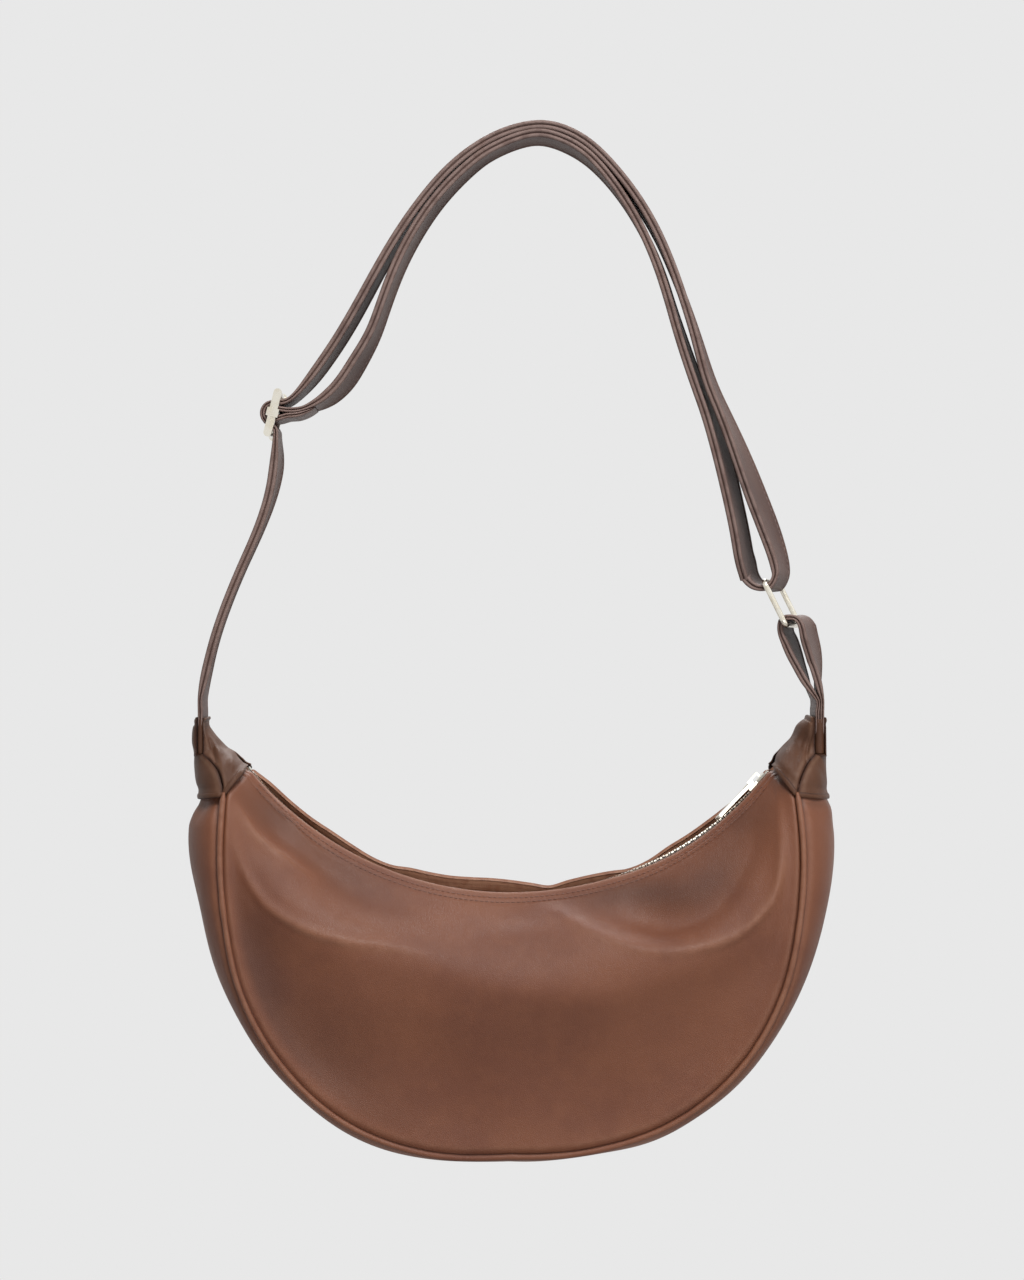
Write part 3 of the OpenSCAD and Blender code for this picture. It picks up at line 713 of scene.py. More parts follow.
class Value:
    """A number that changes over a surface. Sums and products of values add Math nodes."""

    def __init__(self, maker: "Nodes", socket: Any) -> None:
        """Wrap a node's output socket."""
        self.maker = maker
        self.socket = socket

    def _with(self, operation: str, first: Any, second: Any) -> "Value":
        """Add one Math node."""
        node = self.maker.add("ShaderNodeMath", {"operation": operation}, {0: first, 1: second})
        return Value(self.maker, node.outputs[0])

    def __add__(self, other: Any) -> "Value":
        """Return the sum."""
        return self._with("ADD", self, other)

    __radd__ = __add__

    def __mul__(self, other: Any) -> "Value":
        """Return the product."""
        return self._with("MULTIPLY", self, other)

    __rmul__ = __mul__

    def __sub__(self, other: Any) -> "Value":
        """Return the difference."""
        return self._with("SUBTRACT", self, other)

    def __rsub__(self, other: Any) -> "Value":
        """Return the difference the other way round."""
        return self._with("SUBTRACT", other, self)

    def larger(self, other: Any) -> "Value":
        """Return the larger of two values."""
        return self._with("MAXIMUM", self, other)

    def held(self) -> "Value":
        """Return the value kept from 0 to 1."""
        return self.maker.value("ShaderNodeClamp", {}, {0: self})

    def between(self, low: float, high: float) -> "Value":
        """Return 0 where the value is low, 1 where it is high, and a smooth step between."""
        return self.maker.value("ShaderNodeMapRange", {"interpolation_type": "SMOOTHSTEP"},
                                {0: self, 1: low, 2: high, 3: 0.0, 4: 1.0})


class Nodes:
    """The nodes of one material or of the world."""

    def __init__(self, owner: Any) -> None:
        """Start with no nodes.

        Args:
            owner: The material or the world.
        """
        owner.use_nodes = True
        self.owner = owner
        self.tree = owner.node_tree
        self.tree.nodes.clear()

    def add(self, kind: str, settings: dict[str, Any], inputs: dict[Any, Any]) -> Any:
        """Add a node.

        Args:
            kind: The node's type.
            settings: Its settings, such as a Math node's operation.
            inputs: Values or links of its sockets, by name or number.

        Returns:
            The new node.
        """
        node = self.tree.nodes.new(kind)
        for key, setting in settings.items():
            setattr(node, key, setting)
        for key, given in inputs.items():
            if isinstance(given, Value):
                given = given.socket
            if isinstance(given, bpy.types.NodeSocket):
                self.tree.links.new(given, node.inputs[key])
            else:
                node.inputs[key].default_value = given
        return node

    def value(self, kind: str, settings: dict[str, Any], inputs: dict[Any, Any],
              output: Any = 0) -> Value:
        """Add a node as add() does and return one of its outputs as a value."""
        return Value(self, self.add(kind, settings, inputs).outputs[output])

    def place(self, size: float, stretch: Triple = (1, 1, 1)) -> Any:
        """Find the place on the piece.

        Args:
            size: The size of one cell in millimetres.
            stretch: How many cells go into that size along each axis.

        Returns:
            A socket with the place, in cells.
        """
        spot = self.add("ShaderNodeTexCoord", {}, {}).outputs["Object"]
        by = tuple(k / (size * MM) for k in stretch)
        node = self.add("ShaderNodeVectorMath", {"operation": "MULTIPLY"}, {0: spot, 1: by})
        return node.outputs[0]

    def noise(self, size: float, detail: float = 2.0, rough: float = 0.5,
              stretch: Triple = (1, 1, 1)) -> Value:
        """Make soft noise.

        Args:
            size: The size of its swells in millimetres.
            detail: How many finer layers it has.
            rough: How strong they are.
            stretch: How many swells go into that size along each axis.

        Returns:
            The noise, about 0.5.
        """
        return self.value("ShaderNodeTexNoise", {}, {
            "Vector": self.place(size, stretch), "Scale": 1.0, "Detail": detail,
            "Roughness": rough}, "Fac")

    def pebbles(self, size: float) -> Value:
        """Make a leather grain.

        Args:
            size: The size of its pebbles in millimetres.

        Returns:
            0 in its furrows and more on its pebbles.
        """
        warp = self.add("ShaderNodeTexNoise", {}, {
            "Vector": self.place(size * 2.2), "Scale": 1.0, "Detail": 1.0})
        bent = self.add("ShaderNodeVectorMath", {"operation": "MULTIPLY_ADD"}, {
            0: warp.outputs["Color"], 1: (0.5, 0.5, 0.5), 2: self.place(size)})
        return self.value("ShaderNodeTexVoronoi", {"feature": "DISTANCE_TO_EDGE"}, {
            "Vector": bent.outputs[0], "Scale": 1.0}, "Distance")

    def marked(self, name: str) -> Value:
        """Return a number that is stored on the piece's points."""
        return self.value("ShaderNodeAttribute", {"attribute_name": name}, {}, "Fac")

    def blend(self, share: Any, first: Any, second: Any) -> Any:
        """Return a mix of two colours."""
        node = self.add("ShaderNodeMix", {"data_type": "RGBA"}, {0: share, 6: first, 7: second})
        return node.outputs[2]

    def bump(self, height: Value, depth: float, under: Any = None) -> Any:
        """Roughen the surface.

        Args:
            height: Its height from place to place.
            depth: How many millimetres a height of 1 stands for.
            under: The normals that it starts from, if not the plain ones.

        Returns:
            A socket with the new normals.
        """
        inputs: dict[str, Any] = {"Height": height, "Strength": 1.0, "Distance": depth * MM}
        if under is not None:
            inputs["Normal"] = under
        return self.add("ShaderNodeBump", {}, inputs).outputs[0]

    def finish(self, inputs: dict[str, Any]) -> bpy.types.Material:
        """Close the material with a surface shader and return it."""
        shader = self.add("ShaderNodeBsdfPrincipled", {}, inputs)
        self.add("ShaderNodeOutputMaterial", {}, {"Surface": shader.outputs[0]})
        return self.owner


def colour(r: float, g: float, b: float) -> tuple[float, float, float, float]:
    """Turn a display colour into a light value.

    Args:
        r: Its red, from 0 to 255.
        g: Its green.
        b: Its blue.

    Returns:
        The light value with a full alpha.
    """
    def linear(c: float) -> float:
        """Return one channel as a light value."""
        c /= 255.0
        return c / 12.92 if c <= 0.04045 else ((c + 0.055) / 1.055) ** 2.4
    return linear(r), linear(g), linear(b), 1.0


@dataclass(frozen=True)
class Finish:
    """A surface finish. Its material is made once and shared."""

    name: str
    slot: str

    def material(self) -> bpy.types.Material:
        """Return the finish's material."""
        made = bpy.data.materials.get(self.name)
        return made or self.build(Nodes(bpy.data.materials.new(self.name)))

    def build(self, nodes: Nodes) -> bpy.types.Material:
        """Make the material's nodes."""
        raise NotImplementedError


@dataclass(frozen=True)
class Leather(Finish):
    """Satin leather with a fine grain, mottling, scuffs, painted highlights and painted shade.

    Colours are display colours from 0 to 255, and sizes are in millimetres.

    Attributes:
        base: Its main colour.
        deep: The colour of its darker clouds and of its furrows.
        warm: The colour of its flecks.
        rubbed: The colour of its scuffs, also laid on as painted highlights and painted light.
        shadow: The colour of the shade painted into its grooves and hollows.
        shine: How strongly it mirrors.
        gloss: How rough it is where it is smooth.
        cloud: The size of its clouds.
        fleck: The size of its flecks.
        fleck_share: How strong they are.
        patch: The size of the patches in that scuffed and painted-light colour.
        grain: The size of its pebbles.
        grain_depth: Their height.
        furrow_share: How dark the furrows between them are.
        pore: The size of its pores.
        pore_share: Their depth as a share of the pebbles' height.
        wave: The size of its low waves.
        wave_depth: Their height.
    """

    base: Triple = (117, 70, 47)
    deep: Triple = (105, 61, 42)
    warm: Triple = (125, 77, 52)
    rubbed: Triple = (152, 108, 84)
    shadow: Triple = (44, 24, 18)
    shine: float = 0.36
    gloss: float = 0.43
    cloud: float = 55.0
    fleck: float = 9.0
    fleck_share: float = 0.28
    patch: float = 5.0
    grain: float = 0.75
    grain_depth: float = 0.05
    furrow_share: float = 0.16
    pore: float = 0.35
    pore_share: float = 0.25
    wave: float = 16.0
    wave_depth: float = 0.5

    def build(self, nodes: Nodes) -> bpy.types.Material:
        """Make the leather's nodes.

        Args:
            nodes: The new material, with no nodes yet.

        Returns:
            The material.
        """
        broad = nodes.noise(self.cloud, detail=3.0, rough=0.55).between(0.35, 0.68)
        small = nodes.noise(self.fleck, detail=3.0, rough=0.6).between(0.4, 0.75)
        pebbles = nodes.pebbles(self.grain)
        furrow = 1.0 - pebbles.between(0.0, 0.12)
        tone = nodes.blend(broad, colour(*self.base), colour(*self.deep))
        tone = nodes.blend(small * self.fleck_share, tone, colour(*self.warm))
        tone = nodes.blend(furrow * self.furrow_share, tone, colour(*self.deep))
        wear = nodes.marked("wear")
        patchy = nodes.noise(self.patch).between(0.3, 0.6)
        # Values above 0 lighten it toward the scuffed colour, which stands for scuffs and for
        # painted highlights and light.
        tone = nodes.blend((wear * (0.5 + 0.5 * patchy)).held(), tone, colour(*self.rubbed))
        # Painted shade: values below 0 darken it toward the shade colour.
        tone = nodes.blend((-1.0 * wear).held(), tone, colour(*self.shadow))
        rough = self.gloss + 0.09 * broad + 0.07 * furrow - 0.06 * wear
        pores = nodes.noise(self.pore, rough=0.6)
        waves = nodes.noise(self.wave, detail=3.0, stretch=(1.0, 1.0, 0.55))
        relief = nodes.bump(waves, self.wave_depth)
        grained = pebbles.between(0.0, 0.22) + self.pore_share * pores
        return nodes.finish({
            "Base Color": tone, "Roughness": rough, "Specular IOR Level": self.shine,
            "Normal": nodes.bump(grained, self.grain_depth, relief)})


@dataclass(frozen=True)
class Cloth(Finish):
    """Woven cloth or tape.

    Attributes:
        base: Its darker display colour.
        light: The display colour of its ribs.
        yarn: The width of its yarn in millimetres.
        fluff: The size of its fluff.
        relief: The height of its ribs.
    """

    base: Triple = (74, 52, 42)
    light: Triple = (96, 70, 57)
    yarn: float = 0.55
    fluff: float = 0.4
    relief: float = 0.12

    def build(self, nodes: Nodes) -> bpy.types.Material:
        """Make the cloth's nodes.

        Args:
            nodes: The new material, with no nodes yet.

        Returns:
            The material.
        """
        settings = {"wave_type": "BANDS", "bands_direction": "DIAGONAL"}
        rib = nodes.value("ShaderNodeTexWave", settings, {
            "Vector": nodes.place(self.yarn), "Scale": 0.5, "Distortion": 0.6, "Detail": 1.0},
            "Fac")
        fuzz = nodes.noise(self.fluff)
        lit = (rib * 0.6 + 0.3 * fuzz).held()
        return nodes.finish({
            "Base Color": nodes.blend(lit, colour(*self.base), colour(*self.light)),
            "Roughness": 0.75 + 0.15 * fuzz,
            "Normal": nodes.bump(rib + 0.4 * fuzz, self.relief),
            "Sheen Weight": 0.3, "Sheen Roughness": 0.4})


@dataclass(frozen=True)
class Thread(Finish):
    """Twisted sewing thread.

    Attributes:
        base: Its display colour.
        dark: The colour between its strands, as a share of that.
        strand: The size of its strands in millimetres.
        relief: Their height.
    """

    base: Triple = (128, 90, 72)
    dark: float = 0.75
    strand: float = 0.3
    relief: float = 0.05

    def build(self, nodes: Nodes) -> bpy.types.Material:
        """Make the thread's nodes.

        Args:
            nodes: The new material, with no nodes yet.

        Returns:
            The material.
        """
        twist = nodes.noise(self.strand, detail=1.0, stretch=(1.0, 1.0, 2.0))
        deep = tuple(c * self.dark for c in self.base)
        return nodes.finish({
            "Base Color": nodes.blend(twist, colour(*deep), colour(*self.base)),
            "Roughness": 0.5 + 0.2 * twist, "Normal": nodes.bump(twist, self.relief)})


@dataclass(frozen=True)
class Plating(Finish):
    """Polished pale gold plating with faint scuffs.

    Attributes:
        base: Its display colour.
        dull: The colour where it is dull.
        cloud: The size of its clouds in millimetres.
        scratch: The size of its scuffs.
        relief: Their depth.
    """

    base: Triple = (240, 235, 222)
    dull: Triple = (206, 194, 168)
    cloud: float = 6.0
    scratch: float = 0.8
    relief: float = 0.002

    def build(self, nodes: Nodes) -> bpy.types.Material:
        """Make the plating's nodes.

        Args:
            nodes: The new material, with no nodes yet.

        Returns:
            The material.
        """
        cloud = nodes.noise(self.cloud, detail=3.0, rough=0.6).between(0.4, 0.7)
        scuff = nodes.noise(self.scratch, detail=3.0, rough=0.7, stretch=(1.0, 0.2, 1.0))
        scuff = scuff.between(0.55, 0.75)
        dulled = 0.5 * cloud + 0.2 * scuff
        return nodes.finish({
            "Base Color": nodes.blend(dulled, colour(*self.base), colour(*self.dull)),
            "Metallic": 1.0, "Roughness": 0.16 + 0.08 * cloud + 0.06 * scuff,
            "Normal": nodes.bump(scuff, self.relief)})


BODY_LEATHER = Leather("russet_nappa", "body_leather")
STRAP_LEATHER = Leather("strap_nappa", "strap_leather", base=(96, 74, 67), deep=(80, 60, 55),
                        warm=(104, 77, 64), rubbed=(146, 125, 118), shine=0.22, gloss=0.42)
# The body's leather made darker for the caps: painted shade in their colour.
CAP_LEATHER_SHADED = Leather("cap_nappa", "body_leather", base=(88, 58, 42), deep=(68, 45, 34),
                      warm=(100, 65, 45), rubbed=(134, 103, 84), shine=0.18)
LINING = Cloth("lining_twill", "lining_cloth")
TAPE = Cloth("zip_tape_weave", "zip_tape", base=(62, 42, 34), light=(84, 60, 49), yarn=0.4)
SEAM_THREAD = Thread("seam_thread", "body_leather", base=(122, 84, 70))
STRAP_THREAD = Thread("strap_thread", "strap_leather", base=(142, 122, 116))
PALE_GOLD = Plating("pale_gold", "pale_gold_metal")


@dataclass(frozen=True)
class Lamp:
    """A soft rectangular lamp.

    Attributes:
        name: Its name.
        spot: Its place in metres.
        wide: Its width in metres.
        tall: Its height in metres.
        power: Its power in watts.
    """

    name: str
    spot: Triple
    wide: float
    tall: float
    power: float

    def hang(self, aim: Vector) -> None:
        """Hang the lamp.

        Args:
            aim: The point that it faces, in metres.
        """
        data = bpy.data.lights.new(self.name, "AREA")
        data.shape = "RECTANGLE"
        data.size, data.size_y = self.wide, self.tall
        data.energy = self.power
        lamp = linked(self.name, data)
        lamp.location = self.spot
        lamp.rotation_euler = (aim - Vector(self.spot)).to_track_quat("-Z", "Y").to_euler()


@dataclass
class Studio:
    """The camera, the lamps, the floor and the pale surroundings, in millimetres.

    Attributes:
        distance: How far the camera is from the bag.
        aim_x: Where it looks, across from the hang point.
        aim_z: Where it looks, up from the hang point.
        tall: How much of the bag's height it sees.
        lamp_z: The height that the lamps face.
        floor_z: The floor's height.
        floor_half: Half of the floor's width.
        ambient: How strongly the surroundings light the bag.
        pale: The display colour of the surroundings and the floor.
    """

    distance: float = 1300.0
    aim_x: float = -16.5
    aim_z: float = -251.0
    tall: float = 640.0
    lamp_z: float = -400.0
    floor_z: float = -1500.0
    floor_half: float = 2900.0
    ambient: float = 0.13
    pale: Triple = (232, 232, 232)
    lamps: tuple[Lamp, ...] = (
        Lamp("key", (0.35, -1.15, 1.15), 1.1, 0.6, 36.0),
        Lamp("fill", (0.7, -2.0, -0.35), 1.2, 1.0, 9.5),
        Lamp("side_left", (-1.6, -0.1, 0.1), 0.5, 1.4, 0.5),
        Lamp("side_right", (1.6, -0.3, 0.1), 0.5, 1.4, 1.6),
        Lamp("back", (0.1, 1.4, 1.2), 1.3, 0.8, 30.0),
    )

    def camera(self) -> None:
        """Set the camera level in front of the bag."""
        data = bpy.data.cameras.new("camera")
        data.sensor_width = SENSOR
        data.lens = SENSOR * self.distance / self.tall
        data.clip_end = 50.0
        eye = linked("camera", data)
        eye.location = (self.aim_x * MM, -self.distance * MM, self.aim_z * MM)
        eye.rotation_euler = (math.pi / 2, 0.0, 0.0)
        bpy.context.scene.camera = eye

    def surroundings(self) -> None:
        """Light the world softly and show it pale to the camera, to metal and through glass."""
        world = bpy.data.worlds.new("surroundings")
        bpy.context.scene.world = world
        nodes = Nodes(world)
        path = nodes.add("ShaderNodeLightPath", {}, {})
        camera, clear, glossy = (Value(nodes, path.outputs[f"Is {kind} Ray"])
                                 for kind in ("Camera", "Transmission", "Glossy"))
        plain = nodes.add("ShaderNodeBackground", {}, {
            "Color": (1.0, 1.0, 1.0, 1.0), "Strength": self.ambient})
        shown = nodes.add("ShaderNodeBackground", {}, {"Color": colour(*self.pale)})
        choice = nodes.add("ShaderNodeMixShader", {}, {
            0: camera.larger(clear).larger(glossy), 1: plain.outputs[0], 2: shown.outputs[0]})
        nodes.add("ShaderNodeOutputWorld", {}, {0: choice.outputs[0]})

    def floor(self) -> None:
        """Lay a pale floor far under the bag."""
        half, z = self.floor_half * MM, self.floor_z * MM
        data = bpy.data.meshes.new("floor")
        corners = [(-half, -half, z), (half, -half, z), (half, half, z), (-half, half, z)]
        data.from_pydata(corners, [], [(0, 1, 2, 3)])
        piece = linked("floor", data)
        nodes = Nodes(bpy.data.materials.new("pale_floor"))
        data.materials.append(nodes.finish({"Base Color": colour(*self.pale), "Roughness": 0.8}))

    def build(self) -> None:
        """Set up the whole studio."""
        self.camera()
        self.surroundings()
        self.floor()
        for lamp in self.lamps:
            lamp.hang(Vector((self.aim_x * MM, 0.0, self.lamp_z * MM)))
        bpy.context.scene.view_settings.view_transform = "Standard"


def tucked(t: Array, deep: float, start: float, run: float) -> Array:
    """Return how far a sheet's ends are drawn in, from a start along the crescent over a run."""
    return deep * ease((np.abs(t) - start) / run)


LEFT_RIDGE = (
    (-138, -41), (-133, -64), (-127, -76), (-117, -88), (-98, -99), (-77, -105), (-57, -108),
    (-36, -113), (-15, -120), (6, -125), (37, -127), (58, -124), (79, -118), (95, -111))
RIGHT_RIDGE = (
    (10, -86), (22, -92), (31, -97), (47, -104), (68, -109), (89, -108), (110, -101), (124, -89),
    (131, -77), (134, -58), (132, -39))


@dataclass
class Body:
    """The two panels, the gusset, the piping and the lips of the mouth, in millimetres.

    Attributes:
        reach: How far along the crescent the panels and the gusset go, under the caps.
        rows: The points along them.
        cols: The points across a panel.
        gusset_cols: The points across the gusset.
        crowding: How much closer the points lie at the lip.
        piping_reach: How far along the crescent the piping goes.
        belly: How much darker the piping is at the bottom.
        tuck: How far from the seam's middle the panels and the gusset end.
        lining_gap: The gap between the leather and the lining.
        lining_margin: How many of a panel's points the lining leaves out at its edges.
        lining_step: From how many of the leather's rows and columns it takes one.
        lip_stitch: How far under the lip the two lines of stitches run.
        back_flare: How far the back's lip stands out.
        facing: How much painted light brightens the inner side of the back's lip.
        front_rim: A fine ridge under the front's lip at the left.
        front_tones: Patches of painted shade on the front, given as dents.
        crest_wear: How strongly a painted highlight lightens the crests of the sharp folds.
        half_run: Half of the gusset's length.
        cap_step: How far the gusset steps in at the left and at the right cap.
    """

    bench: Bench
    leather_t: float = 1.6
    reach: float = 1.022
    rows: int = 330
    cols: int = 120
    gusset_cols: int = 60
    crowding: float = 1.08
    piping_r: float = 1.62
    piping_reach: float = 1.004
    piping_rows: int = 420
    piping_sides: int = 18
    belly: float = 0.45
    tuck: float = 1.1
    lining_t: float = 0.5
    lining_gap: float = 0.8
    lining_margin: int = 12
    lining_step: tuple[int, int] = (5, 3)
    lip_stitch: Pair = (3.4, 6.2)
    stitch_pitch: float = 2.6
    thread: float = 0.42
    unsewn: int = 14
    crest_wear: float = 0.3
    half_run: float = 290.0
    cap_step: Pair = (2.8, -0.4)
    front_folds: tuple[Fold, ...] = (
        Fold(LEFT_RIDGE, (0.4, 1.4, 2.2, 2.8, 3.2, 3.4, 3.0, 2.6, 2.6, 1.8, 0.6), 17.0, 12.0),
        Fold(LEFT_RIDGE[:8], (0.3, 0.8, 1.0, 1.1, 1.2, 1.2, 0.7, 0.0), 3.0, 2.6, rubbed=True),
        Fold(RIGHT_RIDGE, (0.5, 1.8, 2.4, 2.6, 2.8, 3.2, 3.4, 2.8, 1.6, 0.4), 7.0, 15.0),
        Fold(((14, -87), *RIGHT_RIDGE[2:-1], (133, -39)),
             (0.1, 0.5, 0.7, 0.8, 1.0, 1.2, 1.2, 0.9, 0.3), 3.0, 2.6, rubbed=True),
        Fold(((-136, -37), (-130, -45), (-123, -54), (-108, -65), (-92, -77)),
             (0.4, 1.1, 1.4, 1.1, 0.1), 1.9, 3.4, rubbed=True),
        Fold(((10, -84), (2, -92), (-12, -99), (-30, -104)), (-0.2, -0.8, -0.6, 0.0), 9.0, 9.0),
        Fold(((52, -96), (74, -97), (94, -91), (108, -78), (117, -60), (120, -44)),
             (-0.4, -3.6, -4.4, -4.0, -3.0, -0.6), 14.0, 7.0),
        Fold(((62, -76), (84, -66), (102, -49), (113, -35)), (0.2, 1.4, 1.4, 0.2), 8.0, 8.0),
    )
    front_dents: tuple[Dent, ...] = (
        Dent(-76, -84, 34, 9, -22, 3.4),
        Dent(-114, -52, 13, 6, -45, 2.6),
        Dent(-92, -67, 22, 7, -33, 3.2),
        Dent(66, -92, 20, 8, 5, 3.0),
        Dent(8, -103, 24, 8, 0, -2.0),
        Dent(-20, -158, 90, 26, 0, 3.0),
    )
    back_flare: float = 3.6
    # Painted light on the inner side of the back's lip.
    facing: float = 1.1
    front_rim: Fold = Fold(
        ((-131, -21.5), (-123, -31.4), (-112, -42.8), (-104.5, -51.8), (-95.3, -60.2), (-84, -67)),
        (0.5, 0.9, 0.8, 0.6, 0.4, 0.0), 1.0, 0.9)
    # Painted shade: each dent darkens the front's colour where it lies in shade.
    front_tones: tuple[Dent, ...] = (
        Dent(54, -83, 26, 7, 12, 0.4),
        Dent(80, -84, 22, 9, 8, 0.4),
        Dent(103, -71, 17, 11, 40, 0.34),
        Dent(115, -45, 14, 11, 45, 0.38),
        Dent(-84, -72, 32, 11, -34, 0.3),
        Dent(-117, -43, 18, 9, -42, 0.4),
        Dent(-124, -110, 13, 38, 14, 0.4),
        Dent(-96, -162, 50, 26, -46, 0.34),
    )
    back_folds: tuple[Fold, ...] = (
        Fold(((-134, -42), (-128, -70), (-112, -92), (-84, -106), (-50, -114), (-10, -119),
              (34, -117), (76, -109), (108, -93), (126, -70), (132, -42)),
             (0.4, 2.2, 3.4, 3.4, 2.8, 2.2, 2.6, 3.2, 3.4, 2.2, 0.4), 13.0, 9.0),
        Fold(((-20, -84), (4, -92), (34, -95), (60, -92)), (0.2, 1.6, 1.8, 0.2), 7.0, 7.0),
    )
    back_dents: tuple[Dent, ...] = (
        Dent(-70, -84, 30, 9, -24, 2.6),
        Dent(80, -82, 28, 9, 26, 2.6),
        Dent(0, -160, 90, 26, 0, 2.0),
    )

    def panel(self, face: Face, folds: Sequence[Fold], dents: Sequence[Dent]) -> Sheet:
        """Form a panel with its folds.

        Args:
            face: The panel's side of the bag.
            folds: Its ridges and creases.
            dents: Its hollows.

        Returns:
            The panel's outer side in the bag's own frame.
        """
        t = np.linspace(-self.reach, self.reach, self.rows)[:, None]
        v = np.linspace(0, 1, self.cols)[None, :] ** self.crowding
        flat = SKIN.panel(t, v, face, self.tuck)
        sheet = Sheet.over(flat, INSIDE)
        lip, seam = sheet.reach()
        x, z = flat[..., 0], flat[..., 2]
        out = sum(f.raised(x, z) for f in folds) - sum(d.sunk(x, z) for d in dents)
        calm = ease(lip / 16.0) * ease(seam / 18.0)
        out = out * calm + 0.35 * wobble(flat, size=46.0, seed=3) * calm
        out = out + ridge(seam, height=-1.3, width=2.2)
        if face is Face.FRONT:
            out = out + self.front_rim.raised(x, z)
        else:
            out = out + self.back_flare * SKIN.fullness(t) * bell(lip / 6.0)
        for place in self.lip_stitch:
            out = out + ridge(lip, height=-0.28, width=0.7, place=place)
        out = out + ridge(lip, height=0.25, width=1.2, place=sum(self.lip_stitch) / 2)
        out = out + ridge(lip, height=-0.5, width=0.8)
        return sheet.moved(out - tucked(t, deep=1.7, start=0.975, run=0.02))

    def worn(self, sheet: Sheet, face: Face) -> Array:
        """Find the scuffs, painted highlights and painted shade at each point of a hanging panel.

        Args:
            sheet: The panel in the hanging frame.
            face: The panel's side of the bag.

        Returns:
            Values above 0 for scuffs along the lip and beside the seam and for painted highlights
            on sharp folds, and below 0 for painted shade in the seam's groove and in hollows.
        """
        lip, seam = sheet.reach()
        wear = ridge(lip, height=0.5, width=1.1) + ridge(seam, height=0.2, width=1.6, place=3.4)
        # Painted shade in the seam's groove.
        wear = wear + ridge(seam, height=-0.85, width=1.0)
        if face is Face.FRONT:
            x, z = sheet.points[..., 0] - SKIN.middle_x, sheet.points[..., 2] + SKIN.drop
            calm = ease((lip - 2.0) / 5.0) * ease((seam - 3.0) / 8.0)
            crests = sum(f.raised(x, z) for f in self.front_folds if f.rubbed)
            # Painted shade in the front's shaded hollows.
            wear = wear - calm * sum(d.sunk(x, z) for d in self.front_tones)
            # Painted highlight along the crests of the sharp folds.
            wear = wear + self.crest_wear * calm * crests
        return wear

    def line(self, node: str, sheet: Sheet, first: int, last: int) -> None:
        """Hang the lining inside a sheet of leather.

        Args:
            node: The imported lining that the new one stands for.
            sheet: The leather's outer side, in the hanging frame.
            first: The column where the lining starts.
            last: The column where it ends.
        """
        rows = slice(self.lining_margin, -self.lining_margin, self.lining_step[0])
        part = rows, slice(first, last, self.lining_step[1])
        out = sheet.out[part]
        inner = Sheet(sheet.points[part] - out * (self.leather_t + self.lining_gap), out)
        self.bench.hide(Label(f"{node}_cloth", LINING, (node,)), inner, self.lining_t)

    def sew(self, name: str, sheet: Sheet, place: float) -> None:
        """Sew a line of stitches under a panel's lip.

        Args:
            name: The line's name.
            sheet: The panel in the hanging frame.
            place: How far under the lip the line runs.
        """
        lip = sheet.reach()[0]
        rows = range(self.unsewn, self.rows - self.unsewn)
        path, out = (
            np.array([[np.interp(place, lip[i], grid[i, :, k]) for k in range(3)] for i in rows])
            for grid in (sheet.points, sheet.out))
        self.bench.stitches(Label(name, SEAM_THREAD), path, out, self.stitch_pitch, self.thread)

    def piping(self, face: Face, node: str) -> None:
        """Lay the piping along one seam.

        Args:
            face: The seam's side of the bag.
            node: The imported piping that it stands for.
        """
        t = np.linspace(-self.piping_reach, self.piping_reach, self.piping_rows)
        line = SKIN.placed(SKIN.seam_line(t, face))
        section = round_section(1.0, self.piping_sides)
        swell = 1 + 0.05 * wobble(line, size=14.0, seed=8) + 0.03 * wobble(line, size=4.0, seed=9)
        fit = self.piping_r * swell * (1 - tucked(t, deep=0.5, start=0.985, run=0.02))
        sections = section[None] * fit[:, None, None]
        outer = section[:, 0]
        # Painted highlight on the outer crest and painted shade where it meets the panels.
        wear = ridge(outer, height=0.4, width=0.5, place=1.0)
        wear = wear + ridge(outer, height=-0.8, width=0.3, place=0.1)
        wear = np.broadcast_to(wear, sections.shape[:2]) - (self.belly * bell(t / 0.3))[:, None]
        side = np.array([0.0, face.value, 0.0])
        self.bench.tube(Label(f"{node}_cord", BODY_LEATHER, (node,)), line, sections, side, wear)

    def gusset(self) -> None:
        """Form the gusset, gathered a little under the caps, and its lining."""
        t = np.linspace(-self.reach, self.reach, self.rows)[:, None]
        v = np.linspace(-1, 1, self.gusset_cols)[None, :]
        flat = SKIN.gusset(t, v, self.tuck)
        sheet = Sheet.over(flat, INSIDE)
        near = sheet.near()
        down = np.maximum(1 - np.abs(t), 0.0) * self.half_run
        out = ridge(near, height=-0.9, width=2.6)
        out = out + 0.5 * wobble(flat, size=60.0, seed=5) * ease(near / 10.0)
        gather = np.sin(v * 10.0 + 2.0 * np.sin(v * 3.0) + np.sign(t))
        out = out + 0.7 * gather * bell((down - 6.0) / 8.0) * ease(near / 5.0)
        out = out - np.where(t < 0, *self.cap_step) * ease((17.0 - down) / 14.0)
        out = out + ridge(down, height=-0.5, width=4.0, place=2.5)
        out = out - tucked(t, deep=0.6, start=0.97, run=0.03)
        out = out + ridge(down, height=-1.2, width=28.0, place=60.0) * bell(v / 0.5)
        # Scuffs beside the seams; painted shade in their groove and under the caps' hems.
        wear = ridge(near, height=0.2, width=1.6, place=3.0) + ridge(near, height=-0.85, width=1.0)
        wear = wear + ridge(down, height=-0.3, width=3.0, place=4.0)
        hung = sheet.moved(out).hung()
        label = Label("gusset_strip", BODY_LEATHER, ("gusset",))
        self.bench.hide(label, hung, self.leather_t, wear)
        self.line("lining_gusset", hung, 1, -1)

